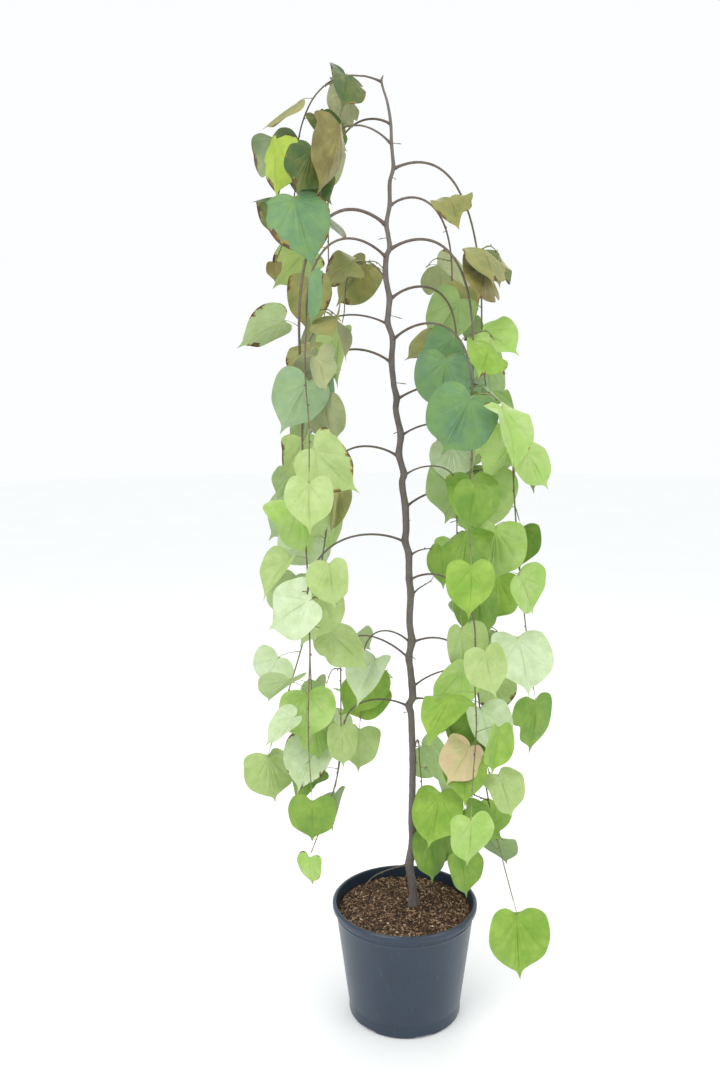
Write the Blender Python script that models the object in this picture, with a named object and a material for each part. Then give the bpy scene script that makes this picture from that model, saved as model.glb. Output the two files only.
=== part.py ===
"""A young weeping redbud in a nursery pot, as separate solids.

Metres, +Z up. The origin is the centre of the pot's underside, +X is to the viewer's right, and the
viewer stands on the -Y side. An azimuth is in degrees, 0 along +X and 90 along +Y, away from the viewer.
"""

import functools
import math
import random
from collections import namedtuple

import bmesh
import bpy
from mathutils import Vector
from mathutils.bvhtree import BVHTree

# Between solids that touch on the real plant
SEAM = 0.0003

# Pot
POT_HEIGHT = 0.285
POT_RIM_RADIUS = 0.1775
POT_TOP_RADIUS = 0.1700
POT_BASE_RADIUS = 0.1380
POT_WALL = 0.0030
POT_FLOOR = 0.0080
POT_LIP_HEIGHT = 0.0150
POT_LIP_LEDGE = 0.0030
POT_RING_DROP = 0.0280
POT_RING_PROUD = 0.0012
POT_RING_HEIGHT = 0.0050
POT_STEP_HEIGHT = 0.0340
POT_STEP_DEPTH = 0.0020
POT_FOOT_ROUND = 0.0040
POT_LIP_ROUND = 0.0038
POT_EDGE_SLOPE = 0.0010
POT_STEPS = 44
DRAIN_NOTCHES = 6
DRAIN_WIDTH = 0.0450
DRAIN_HEIGHT = 0.0065
DRAIN_REACH = 0.0200
DRAIN_FIRST_AZIMUTH = 287.0

# Soil
SOIL_TOP = 0.2650
SOIL_EDGE_DROP = 0.0050
SOIL_FLAT_RADIUS = 0.0600
# The slope to the wall steepens at this share of the radius, after this share of the drop
SOIL_BEND_RADIUS = 0.93
SOIL_BEND_DROP = 0.4

# Trunk, as height above the ground against sideways lean and against radius
TRUNK_FOOT = SOIL_TOP + SEAM
TRUNK_TIP = 2.198
TRUNK_LEAN = (
    (TRUNK_FOOT, 0.022),
    (0.370, 0.016),
    (0.620, 0.019),
    (0.850, 0.013),
    (1.000, 0.011),
    (1.170, 0.004),
    (1.330, -0.007),
    (1.560, -0.026),
    (1.760, -0.040),
    (1.930, -0.037),
    (2.070, -0.026),
    (TRUNK_TIP, -0.048),
)
TRUNK_RADII = (
    (TRUNK_FOOT, 0.0145),
    (0.300, 0.0102),
    (0.600, 0.0081),
    (1.200, 0.0079),
    (1.750, 0.0062),
    (1.950, 0.0046),
    (2.100, 0.0032),
    (TRUNK_TIP, 0.0024),
)
TRUNK_SWAY = 0.004
TRUNK_SWAY_RATE = 5.0
TRUNK_KINK = 0.0042
TRUNK_RING_STEP = 0.055
TRUNK_RING_LEAST = 0.020
TRUNK_SIDES = 10
FLARE_LOBES = 5
FLARE_DEPTH = 0.18
FLARE_HEIGHT = 0.040
FLARE_RINGS = (0.3, 0.7)

# Limbs
SHOOT_SHARE = 0.80
TIP_RADIUS = 0.0012
BOUGH_SIDES = 5
BOUGH_RINGS = 7
STEM_SIDES = 3
STEM_ARCH_RINGS = 5
STEM_HANG_STEP = 0.100
STEM_WAVE = 0.006
STEM_WAVE_RATE = 16.0
ARCH_LEAD = 0.35
HEADING_STEP = 0.01
DRIFT_CURVE = 1.5
BARE_TWIG_SIDES = 4
BARE_TWIG_RINGS = 4

# Leaves, in units of the leaf's width: half of the heart's outline from notch to tip, and the midrib
LEAF_OUTLINE = ((0.21, -0.12), (0.44, -0.04), (0.52, 0.25), (0.43, 0.58), (0.15, 0.86))
LEAF_TIP = 1.06
LEAF_MIDRIB = (0.12, 0.58)
LEAF_FOLD = 0.16
LEAF_CURL = 0.10
LEAF_THICKNESS = 0.017
LEAF_LOBE_CORNERS = 3
STALK_RADIUS = 0.0008
STALK_BEND = 0.05
ROOT_SUNK = 0.005

# How a leaf is drawn: the most it turns from its mass's facing, the share turned right round, its tilt
# up and its lean aside as ranges in degrees, and its stalk in units of the leaf and of the stalk. An end
# leaf's space is in units of that leaf
LEAF_TURN = 62
LEAF_TURNED_BACK = 0.22
LEAF_TILTS = (-12, 58)
LEAF_LEANS = (-15, 62)
STALK_LENGTHS = (0.28, 0.50)
STALK_LIFTS = (-0.25, 0.40)
STALK_FORWARDS = (0.30, 0.65)
STALK_ASIDE = 0.8
FACING_VIEWER = 270
FACING_AWAY = 90
END_LEAF_TURN = 40
END_LEAF_TILTS = (0, 25)
END_LEAF_STALK = 0.2
END_LEAF_SPACE = 1.4

# How the leaves are dealt out along a shoot, and the space that each one keeps
LEAF_FIRST = 0.03
LEAF_TRIES = 8
LEAF_ABSENT = 0.12
LEAF_PLACES = (0.1, 0.6)
LEAF_SIZE_SPREAD = 0.22
LEAF_CLEARANCE = 0.004
STALK_TESTED_FROM = 0.12
TRUNK_CLEARANCE = 0.030
LOWEST_LEAF = 0.045
POT_CLEARANCE = 0.010
TIP_LEAF_ALONE = 0.7

# A side twig: how often one stands, and its two straights and their rise and fall in units of its length
TWIG_EVERY = 3
TWIG_LENGTH = 0.085
TWIG_LENGTHS = (0.7, 1.3)
TWIG_TURN = 50
TWIG_FIRST = 0.55
TWIG_RISE = 0.10
TWIG_SECOND = 0.35
TWIG_FALL = 0.30
TWIG_RADIUS = 0.0016
TWIG_TESTED_FROM = 0.2

# Shading and the heights between which the leaves change from one green to the next
ROUND_ANGLE = 45
UPPER_LEAVES = 1.65
MIDDLE_LEAVES = 1.0

# One row for each leafy limb. It leaves the trunk with its radius, at height along azimuth, arches out
# to reach with its control points at rise, and comes down to drop below its start. The bough ends at
# the share ends of that arch, where the shoot enters the leaves. The shoot hangs on for hang, and moves
# out by drift. Its leaves stand step apart, leaf wide, within sleeve of it, the one at its end tip wide.
Limb = namedtuple(
    "Limb", "name radius height azimuth reach rise drop ends hang drift step leaf sleeve tip seed"
)
LIMBS = (
    Limb("left_1", 0.0024, 2.186, 174, 0.19, 0.032, 0.22, 0.16, 0.15, 0.045, 0.042, 0.105, 0.13, 0.04, 131),
    Limb("left_2", 0.0024, 2.059, 192, 0.155, 0.055, 0.1, 0.35, 0.17, 0.02, 0.055, 0.12, 0.13, 0.11, 175),
    Limb("left_3", 0.0038, 1.889, 200, 0.2, 0.053, 0.24, 0.92, 0.86, -0.02, 0.085, 0.12, 0.17, 0.1, 150),
    Limb("left_4", 0.0018, 1.78, 150, 0.1, 0.05, 0.05, 0.5, 0.05, 0.01, 0.04, 0.11, 0.12, 0.11, 162),
    Limb("left_5", 0.0023, 1.675, 160, 0.195, 0.035, 0.09, 0.6, 0.15, 0.01, 0.065, 0.105, 0.13, 0.12, 62),
    Limb("left_6", 0.0027, 1.378, 188, 0.15, 0.035, 0.06, 0.6, 0.62, 0.15, 0.085, 0.12, 0.15, 0.11, 20),
    Limb("left_7", 0.0022, 0.94, 165, 0.11, 0.035, 0.06, 0.55, 0.15, 0.01, 0.06, 0.1, 0.12, 0.1, 13),
    Limb("left_8", 0.0024, 0.783, 188, 0.15, 0.03, 0.06, 0.55, 0.3, 0.08, 0.065, 0.105, 0.14, 0.07, 91),
    Limb("right_1", 0.0031, 2.007, 12, 0.205, 0.035, 0.37, 0.55, 0.42, 0.1, 0.075, 0.11, 0.15, 0.1, 131),
    Limb("right_2", 0.0034, 1.837, 342, 0.185, 0.035, 0.23, 0.7, 0.25, 0, 0.07, 0.115, 0.14, 0.12, 27),
    Limb("right_3", 0.0032, 1.73, 20, 0.16, 0.045, 0.1, 0.6, 0.21, -0.01, 0.06, 0.105, 0.12, 0.1, 35),
    Limb("right_5", 0.0026, 1.508, 352, 0.255, 0.055, 0.08, 0.75, 0.6, 0.06, 0.08, 0.12, 0.14, 0.12, 70),
    Limb("right_6", 0.0023, 1.425, 18, 0.17, 0.038, 0.06, 0.65, 0.3, 0.02, 0.07, 0.13, 0.15, 0.12, 202),
    Limb("right_7", 0.002, 1.335, 338, 0.12, 0.03, 0.03, 0.6, 0.3, 0.01, 0.07, 0.11, 0.13, 0.12, 179),
    Limb("right_10", 0.0025, 0.94, 348, 0.155, 0.025, 0.2, 0.6, 0.43, 0.085, 0.08, 0.11, 0.13, 0.165, 30),
    Limb("right_11", 0.0021, 0.83, 25, 0.18, 0.04, 0.05, 0.6, 0.26, 0.04, 0.065, 0.11, 0.13, 0.11, 194),
    Limb("right_12", 0.0022, 0.8, 345, 0.09, 0.005, 0.14, 0.6, 0.22, 0.02, 0.065, 0.1, 0.12, 0.1, 216),
    Limb("right_13", 0.0018, 0.435, 35, 0.11, 0.035, 0.05, 0.5, 0.06, 0.01, 0.05, 0.1, 0.12, 0.1, 132),
    Limb("front_1", 0.003, 1.82, 228, 0.25, 0.05, 0.16, 0.62, 0.3, 0, 0.085, 0.11, 0.14, 0.11, 19),
    Limb("front_2", 0.003, 1.64, 308, 0.25, 0.05, 0.12, 0.62, 0.34, 0, 0.085, 0.115, 0.14, 0.11, 186),
    Limb("front_3", 0.0027, 1.18, 218, 0.27, 0.045, 0.1, 0.62, 0.44, 0, 0.085, 0.11, 0.14, 0.1, 220),
    Limb("front_4", 0.0026, 1.09, 304, 0.23, 0.045, 0.1, 0.62, 0.38, 0, 0.085, 0.11, 0.14, 0.11, 58),
    Limb("back_1", 0.0027, 2.1, 128, 0.23, 0.045, 0.14, 0.6, 0.26, 0.02, 0.07, 0.11, 0.14, 0.11, 143),
    Limb("back_2", 0.003, 1.93, 52, 0.25, 0.05, 0.14, 0.6, 0.42, 0.01, 0.075, 0.115, 0.14, 0.11, 4),
    Limb("back_3", 0.0029, 1.59, 138, 0.25, 0.05, 0.12, 0.6, 0.46, 0, 0.08, 0.11, 0.14, 0.1, 146),
    Limb("back_4", 0.0027, 1.26, 42, 0.25, 0.045, 0.12, 0.6, 0.42, 0, 0.08, 0.11, 0.14, 0.1, 77),
    Limb("back_5", 0.0025, 0.9, 130, 0.25, 0.04, 0.08, 0.6, 0.33, 0.02, 0.07, 0.105, 0.14, 0.1, 216),
    Limb("back_6", 0.002, 0.64, 80, 0.13, 0.035, 0.05, 0.55, 0.15, 0.02, 0.055, 0.105, 0.13, 0.1, 43),
)
# The shoots of these limbs leave the trunk themselves, with no bough
SHORT_LIMBS = ("left_4", "right_13", "back_6")

# Leafless twigs
BareTwig = namedtuple("BareTwig", "name radius height azimuth reach rise drop")
BARE_TWIGS = (
    BareTwig("bare_right_8", 0.002, 1.148, 340, 0.07, 0.02, -0.006),
    BareTwig("bare_right_9", 0.002, 1.054, 20, 0.05, 0.02, -0.04),
    BareTwig("bare_left_10", 0.0022, 0.375, 205, 0.11, 0, 0.04),
)

Shape = namedtuple("Shape", "tree points low high")
Leaf = namedtuple("Leaf", "root base axis normal size")
Sleeve = namedtuple("Sleeve", "tree sleeve")


def blend(table, at):
    """The value at a height of a table of (height, value), eased in and out between its rows."""
    for (low, first), (high, second) in zip(table, table[1:]):
        if at <= high:
            share = min(max((at - low) / (high - low), 0.0), 1.0)
            return first + (second - first) * share * share * (3 - 2 * share)
    return table[-1][1]


def toward(azimuth, elevation=0.0):
    """The unit vector along an azimuth and an elevation in degrees."""
    turn = math.radians(azimuth)
    lift = math.radians(elevation)
    return Vector((math.cos(turn) * math.cos(lift), math.sin(turn) * math.cos(lift), math.sin(lift)))


@functools.cache
def trunk_rings():
    """The trunk's rings as (height, centre). One stands at each limb, bent towards it, others between."""
    limbs = {limb.height: limb for limb in LIMBS + BARE_TWIGS}
    count = round((TRUNK_TIP - TRUNK_FOOT) / TRUNK_RING_STEP)
    plain = [TRUNK_FOOT] + [TRUNK_FOOT + share * FLARE_HEIGHT for share in FLARE_RINGS]
    plain += [TRUNK_FOOT + (TRUNK_TIP - TRUNK_FOOT) * ring / count for ring in range(1, count)]
    plain = [height for height in plain if all(abs(height - other) > TRUNK_RING_LEAST for other in limbs)]
    rings = []
    for height in sorted(plain + list(limbs) + [TRUNK_TIP]):
        centre = Vector((blend(TRUNK_LEAN, height), TRUNK_SWAY * math.sin(TRUNK_SWAY_RATE * height), height))
        if height in limbs:
            centre += toward(limbs[height].azimuth) * TRUNK_KINK
        rings.append((height, centre))
    return rings


def trunk_centre(height):
    """The trunk's centre at a height, straight from ring to ring."""
    rings = trunk_rings()
    for (low, first), (high, second) in zip(rings, rings[1:]):
        if height <= high:
            return first + (second - first) * ((height - low) / (high - low))
    return rings[-1][1]


def trunk_radius(height):
    return blend(TRUNK_RADII, height)


def ring_at(centre, normal, radius, sides):
    """Corners round a centre, in the plane square to a normal."""
    helper = Vector((0, 0, 1)) if abs(normal.z) < 0.8 else Vector((0, 1, 0))
    across = normal.cross(helper).normalized()
    up = normal.cross(across)
    turns = [2 * math.pi * side / sides for side in range(sides)]
    return [centre + (across * math.cos(turn) + up * math.sin(turn)) * radius for turn in turns]


@functools.cache
def limb_root(limb):
    """Where a limb starts: its flat foot stands SEAM clear of the trunk at the corner that comes closest."""
    out = toward(limb.azimuth)
    root = trunk_centre(limb.height) + out * (trunk_radius(limb.height) + SEAM)
    short = 0.0
    for corner in ring_at(root, out, limb.radius, BOUGH_SIDES):
        centre = trunk_centre(corner.z)
        distance = Vector((corner - centre).xy).length
        short = max(short, trunk_radius(corner.z) + SEAM - distance)
    return root + out * short


def arch_point(limb, share):
    """A cubic curve from the trunk's side: out and up, over, and down to the limb's drop."""
    rest = 1 - share
    out = 3 * rest * rest * share * ARCH_LEAD + 3 * rest * share * share + share**3
    up = 3 * rest * share * limb.rise - share**3 * limb.drop
    return limb_root(limb) + toward(limb.azimuth) * limb.reach * out + Vector((0, 0, up))


def arch_heading(limb, share):
    return (arch_point(limb, share + HEADING_STEP) - arch_point(limb, share)).normalized()


def bough_path(limb):
    return [arch_point(limb, limb.ends * ring / BOUGH_RINGS) for ring in range(BOUGH_RINGS + 1)]


def bare_twig_path(twig):
    return [arch_point(twig, ring / BARE_TWIG_RINGS) for ring in range(BARE_TWIG_RINGS + 1)]


def stem_path(limb):
    """The shoot: the rest of the arch, then down its hang with a slow wave, drifting outwards."""
    first = 0.0 if limb.name in SHORT_LIMBS else limb.ends
    start = arch_point(limb, first)
    points = [start if limb.name in SHORT_LIMBS else start + arch_heading(limb, first) * SEAM]
    for ring in range(1, STEM_ARCH_RINGS + 1):
        points.append(arch_point(limb, first + (1 - first) * ring / STEM_ARCH_RINGS))
    foot = points[-1]
    rings = max(2, round(limb.hang / STEM_HANG_STEP))
    for ring in range(1, rings + 1):
        share = ring / rings
        fall = limb.hang * share
        wave = STEM_WAVE * math.sin(STEM_WAVE_RATE * (fall + limb.height))
        side = toward(limb.azimuth + 90) * wave
        out = toward(limb.azimuth) * limb.drift * share**DRIFT_CURVE
        points.append(foot + out + side - Vector((0, 0, fall)))
    return points


def along(points, distance):
    """The point at a distance along a path, and the path's direction there."""
    for here, ahead in zip(points, points[1:]):
        length = (ahead - here).length
        if distance <= length or ahead is points[-1]:
            return here.lerp(ahead, min(distance / length, 1.0)), (ahead - here).normalized()
        distance -= length
    raise ValueError("a path has at least two points")


def path_length(points):
    return sum((ahead - here).length for here, ahead in zip(points, points[1:]))


def tube_rings(points, radii, sides, first_normal=None, last_normal=None):
    """Rings of corners square to the path, or at its ends to the normals given, turned as little as can be."""
    first_normal = first_normal or (points[1] - points[0]).normalized()
    rings = [ring_at(points[0], first_normal, radii[0], sides)]
    across = (rings[0][0] - points[0]).normalized()
    for index in range(1, len(points)):
        behind = points[index - 1]
        ahead = points[min(index + 1, len(points) - 1)]
        along_path = (ahead - behind).normalized()
        if last_normal and ahead is points[index]:
            along_path = last_normal
        across = (across - along_path * across.dot(along_path)).normalized()
        up = along_path.cross(across)
        ring = []
        for side in range(sides):
            turn = 2 * math.pi * side / sides
            ring.append(points[index] + (across * math.cos(turn) + up * math.sin(turn)) * radii[index])
        rings.append(ring)
    return rings


def tube_faces(ring_count, sides):
    faces = [tuple(range(sides))[::-1]]
    for ring in range(ring_count - 1):
        low = ring * sides
        for side in range(sides):
            beside = (side + 1) % sides
            faces.append((low + side, low + beside, low + sides + beside, low + sides + side))
    last = (ring_count - 1) * sides
    faces.append(tuple(last + side for side in range(sides)))
    return faces


def tube_shape(points, radii, sides, first_normal=None, last_normal=None):
    rings = tube_rings(points, radii, sides, first_normal, last_normal)
    corners = [corner for ring in rings for corner in ring]
    return corners, tube_faces(len(rings), sides)


def taper(count, first, last):
    return [first + (last - first) * index / (count - 1) for index in range(count)]


def stem_radii(limb, path):
    first = limb.radius * (1 if limb.name in SHORT_LIMBS else SHOOT_SHARE)
    return taper(len(path), first, TIP_RADIUS)


def leaf_point(leaf, across, down, proud=0.0):
    """A point of the blade: a shallow fold at the midrib and a tip that bends back."""
    side = leaf.axis.cross(leaf.normal)
    lift = LEAF_FOLD * abs(across) - LEAF_CURL * down * down + proud
    return leaf.base + (side * across + leaf.axis * down + leaf.normal * lift) * leaf.size


def leaf_rim(leaf):
    """The outline from the notch down one side to the tip and up the other."""
    rim = [leaf_point(leaf, 0, 0)]
    rim += [leaf_point(leaf, across, down) for across, down in LEAF_OUTLINE]
    rim.append(leaf_point(leaf, 0, LEAF_TIP))
    rim += [leaf_point(leaf, -across, down) for across, down in reversed(LEAF_OUTLINE)]
    return rim


def skin_faces(rim, upper, lower):
    """One skin as triangles between the rim's corner numbers and two midrib corners."""
    count = len(rim)
    turn = LEAF_LOBE_CORNERS
    faces = []
    for index in range(count):
        beside = (index + 1) % count
        centre = upper if max(min(index, count - index), min(beside, count - beside)) <= turn else lower
        faces.append((rim[index], rim[beside], centre))
    return faces + [(rim[turn], lower, upper), (rim[count - turn], upper, lower)]


def stalk_bend(leaf):
    """Where the stalk turns into line with the blade, just above its notch."""
    return leaf.base - leaf.axis * STALK_BEND * leaf.size


def leaf_shape(leaf):
    """The blade and its stalk as thin sheets, for testing what they would touch, or none if they cross."""
    rim = leaf_rim(leaf)
    blade = rim + [leaf_point(leaf, 0, down) for down in LEAF_MIDRIB]
    blade_faces = skin_faces(range(len(rim)), len(rim), len(rim) + 1)
    bend = stalk_bend(leaf)
    from_stem = leaf.root.lerp(bend, STALK_TESTED_FROM)
    stalk = [from_stem, bend, bend + leaf.normal.cross(bend - from_stem).normalized() * STALK_RADIUS]
    if BVHTree.FromPolygons(blade, blade_faces).overlap(BVHTree.FromPolygons(stalk, [(0, 1, 2)])):
        return None
    edges = [here.lerp(ahead, 0.5) for here, ahead in zip(rim, rim[1:] + rim[:1])]
    first = len(blade)
    return shape_of(blade + stalk, blade_faces + [(first, first + 1, first + 2)], blade + edges)


def leaf_solid(leaf):
    """Stalk and blade as one closed solid. The stalk's last three corners stand in for the notch."""
    bend = stalk_bend(leaf)
    across = leaf.normal
    rings = []
    for point, heading in (
        (leaf.base, leaf.axis),
        (bend, (leaf.base - leaf.root).normalized()),
        (leaf.root, (bend - leaf.root).normalized()),
    ):
        across = (across - heading * across.dot(heading)).normalized()
        beside = heading.cross(across)
        turns = [2 * math.pi * side / STEM_SIDES for side in range(STEM_SIDES)]
        ring = [point + (across * math.cos(turn) + beside * math.sin(turn)) * STALK_RADIUS for turn in turns]
        rings.insert(0, ring)
    corners = [corner for ring in rings for corner in ring]
    faces = tube_faces(len(rings), STEM_SIDES)[:-1]
    front, right, left = range(len(corners) - STEM_SIDES, len(corners))
    rim = leaf_rim(leaf)[1:]
    first = len(corners)
    last = first + len(rim) - 1
    half = LEAF_THICKNESS / 2
    corners += rim + [leaf_point(leaf, 0, down, half) for down in LEAF_MIDRIB]
    corners += [leaf_point(leaf, 0, down, -half) for down in LEAF_MIDRIB]
    edge = list(range(first, last + 1))
    faces += skin_faces([front] + edge, last + 1, last + 2)
    for face in skin_faces([right] + edge, last + 3, last + 4):
        if face[:2] == (last, right):
            faces += [(last + 3, left, last), (last + 3, right, left)]
        else:
            faces.append(face[::-1])
    faces += [(right, first, front), (front, last, left)]
    return corners, faces


def shape_of(corners, faces, points):
    tree = BVHTree.FromPolygons(corners, faces)
    low = Vector([min(corner[axis] for corner in corners) for axis in range(3)])
    high = Vector([max(corner[axis] for corner in corners) for axis in range(3)])
    return Shape(tree, points, low, high)


def tube_test_shape(points, radii, sides):
    corners, faces = tube_shape(points, radii, sides)
    return shape_of(corners, faces, points)


def clear_of(shape, others):
    """Whether a shape keeps LEAF_CLEARANCE to every other."""
    for other in others:
        if any(
            shape.low[axis] > other.high[axis] + LEAF_CLEARANCE
            or shape.high[axis] < other.low[axis] - LEAF_CLEARANCE
            for axis in range(3)
        ):
            continue
        if shape.tree.overlap(other.tree):
            return False
        if any(other.tree.find_nearest(point, LEAF_CLEARANCE)[0] for point in shape.points):
            return False
        if any(shape.tree.find_nearest(point, LEAF_CLEARANCE)[0] for point in other.points):
            return False
    return True


def in_space(shape, stem):
    """Whether all of a leaf or twig is within its sleeve round the stem, off trunk, pot and floor."""
    for point in shape.points:
        if point.z < LOWEST_LEAF:
            return False
        if point.z < POT_HEIGHT + POT_CLEARANCE and point.xy.length < POT_RIM_RADIUS + POT_CLEARANCE:
            return False
        from_trunk = point - trunk_centre(point.z)
        if TRUNK_FOOT < point.z < TRUNK_TIP and Vector(from_trunk.xy).length < TRUNK_CLEARANCE:
            return False
        if stem.tree.find_nearest(point, stem.sleeve)[0] is None:
            return False
    return True


def draw_leaf(rng, root, side, facing, size):
    """One leaf by the rule: its stalk goes out to one side and forward, its blade hangs and faces out."""
    turn = facing + rng.uniform(-LEAF_TURN, LEAF_TURN)
    if rng.random() < LEAF_TURNED_BACK:
        turn += 180
    normal = toward(turn, rng.uniform(*LEAF_TILTS))
    across = toward(turn + 90)
    stalk = size * rng.uniform(*STALK_LENGTHS)
    lift = rng.uniform(*STALK_LIFTS)
    forward = rng.uniform(*STALK_FORWARDS)
    base = root + (across * side * STALK_ASIDE + toward(turn) * forward + Vector((0, 0, lift))) * stalk
    down = (normal.cross(across)).normalized()
    if down.z > 0:
        down = -down
    lean = math.radians(rng.uniform(*LEAF_LEANS)) * side
    axis = (down * math.cos(lean) + across * math.sin(lean)).normalized()
    return Leaf(root, base, axis, normal, size)


def leaf_facing(limb):
    """The viewer's side on the left and right limbs. In front and at the back, halfway towards the limb."""
    if limb.name.startswith(("left", "right")):
        return FACING_VIEWER
    straight = FACING_VIEWER if limb.name.startswith("front") else FACING_AWAY
    return (limb.azimuth + straight) / 2


def place_leaf(rng, root, side, facing, size, stem, taken, near):
    """The first of a few leaves drawn by the rule that keeps to its space, or none."""
    for _ in range(LEAF_TRIES):
        leaf = draw_leaf(rng, root, side, facing, size)
        shape = leaf_shape(leaf)
        if shape and in_space(shape, stem) and clear_of(shape, near) and clear_of(shape, taken):
            taken.append(shape)
            return leaf
        side = -side
    return None


def draw_twig(rng, root, side, facing):
    """A side twig: out and a little up, then bending down."""
    out = toward(facing + 90 * side + rng.uniform(-TWIG_TURN, TWIG_TURN))
    length = TWIG_LENGTH * rng.uniform(*TWIG_LENGTHS)
    middle = root + out * length * TWIG_FIRST + Vector((0, 0, TWIG_RISE * length))
    return [root, middle, middle + out * length * TWIG_SECOND - Vector((0, 0, TWIG_FALL * length))]


def place_twig(rng, root, side, size, limb, sleeve, taken, near):
    """A twig and its two leaves, or nothing if the twig or its end leaf would leave the space."""
    facing = leaf_facing(limb)
    twig = draw_twig(rng, root, side, facing)
    tested = [twig[0].lerp(twig[1], TWIG_TESTED_FROM), *twig[1:]]
    shape = tube_test_shape(tested, [TWIG_RADIUS] * len(tested), STEM_SIDES)
    if not (in_space(shape, sleeve) and clear_of(shape, near) and clear_of(shape, taken)):
        return None, []
    end_root = twig[2] - (twig[2] - twig[1]).normalized() * ROOT_SUNK
    end_leaf = place_leaf(rng, end_root, side, facing, size, sleeve, taken, near)
    if not end_leaf:
        return None, []
    taken.append(shape)
    side_leaf = place_leaf(rng, twig[1], -side, facing, size, sleeve, taken, near)
    return twig, [leaf for leaf in (end_leaf, side_leaf) if leaf]


def place_end_leaf(rng, path, limb, sleeve, taken):
    """The leaf that hangs from the shoot's tip, in a space as deep as itself."""
    end, heading = along(path, path_length(path))
    sleeve = Sleeve(sleeve.tree, max(sleeve.sleeve, limb.tip * END_LEAF_SPACE))
    for _ in range(LEAF_TRIES):
        turn = leaf_facing(limb) + rng.uniform(-END_LEAF_TURN, END_LEAF_TURN)
        normal = toward(turn, rng.uniform(*END_LEAF_TILTS))
        axis = (-Vector((0, 0, 1)) + normal * normal.z).normalized()
        base = end + heading * limb.tip * END_LEAF_STALK
        leaf = Leaf(end - heading * ROOT_SUNK, base, axis, normal, limb.tip)
        shape = leaf_shape(leaf)
        if shape and in_space(shape, sleeve) and clear_of(shape, taken):
            taken.append(shape)
            return [leaf]
    return []


def plan_mass(limb, path, limb_shapes, taken):
    """The twigs and leaves of one mass. Every third place along the shoot has a twig with two leaves."""
    rng = random.Random(limb.seed)
    sleeve = Sleeve(limb_shapes[limb.name].tree, limb.sleeve)
    near = [shape for name, shape in limb_shapes.items() if name != "trunk"]
    others = [shape for name, shape in limb_shapes.items() if name not in ("trunk", limb.name)]
    twigs = []
    leaves = place_end_leaf(rng, path, limb, sleeve, taken)
    places = int((path_length(path) - LEAF_FIRST - limb.leaf * TIP_LEAF_ALONE) / limb.step)
    for place in range(places):
        root = along(path, LEAF_FIRST + limb.step * (place + rng.uniform(*LEAF_PLACES)))[0]
        side = 1 if place % 2 else -1
        size = limb.leaf * (1 + rng.uniform(-LEAF_SIZE_SPREAD, LEAF_SIZE_SPREAD))
        if rng.random() < LEAF_ABSENT:
            continue
        if place % TWIG_EVERY == 1:
            twig, twig_leaves = place_twig(rng, root, side, size, limb, sleeve, taken, others)
            if twig:
                twigs.append(twig)
                leaves += twig_leaves
                continue
        leaf = place_leaf(rng, root, side, leaf_facing(limb), size, sleeve, taken, near)
        if leaf:
            leaves.append(leaf)
    return twigs, leaves


def plan_plant():
    """Every limb's own path first, and then each mass's twigs and leaves, clear of the limbs."""
    trunk = [centre for _, centre in trunk_rings()]
    radii = [trunk_radius(height) for height, _ in trunk_rings()]
    shapes = {"trunk": tube_test_shape(trunk, radii, TRUNK_SIDES)}
    stems = {}
    for limb in LIMBS:
        stems[limb.name] = stem_path(limb)
        radii = stem_radii(limb, stems[limb.name])
        shapes[limb.name] = tube_test_shape(stems[limb.name], radii, STEM_SIDES)
        if limb.name not in SHORT_LIMBS:
            radii = taper(BOUGH_RINGS + 1, limb.radius, limb.radius * SHOOT_SHARE)
            shapes["bough " + limb.name] = tube_test_shape(bough_path(limb), radii, BOUGH_SIDES)
    for twig in BARE_TWIGS:
        path = bare_twig_path(twig)
        shapes[twig.name] = tube_test_shape(path, taper(len(path), twig.radius, TIP_RADIUS), STEM_SIDES)
    taken = []
    masses = {}
    for limb in LIMBS:
        masses[limb.name] = plan_mass(limb, stems[limb.name], shapes, taken)
    return stems, masses


def make_object(name, corners, faces, material):
    mesh = bpy.data.meshes.new(name)
    mesh.from_pydata([tuple(corner) for corner in corners], [], faces)
    mesh.materials.append(material)
    obj = bpy.data.objects.new(name, mesh)
    bpy.context.scene.collection.objects.link(obj)
    return obj


def make_material(name, colour, roughness, metallic=0.0):
    material = bpy.data.materials.new(name)
    material.use_nodes = True
    shader = material.node_tree.nodes["Principled BSDF"]
    shader.inputs["Base Color"].default_value = (*colour, 1)
    shader.inputs["Roughness"].default_value = roughness
    shader.inputs["Metallic"].default_value = metallic
    return material


def shade_round(obj):
    obj.data.shade_smooth()
    obj.data.set_sharp_from_angle(angle=math.radians(ROUND_ANGLE))


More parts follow.
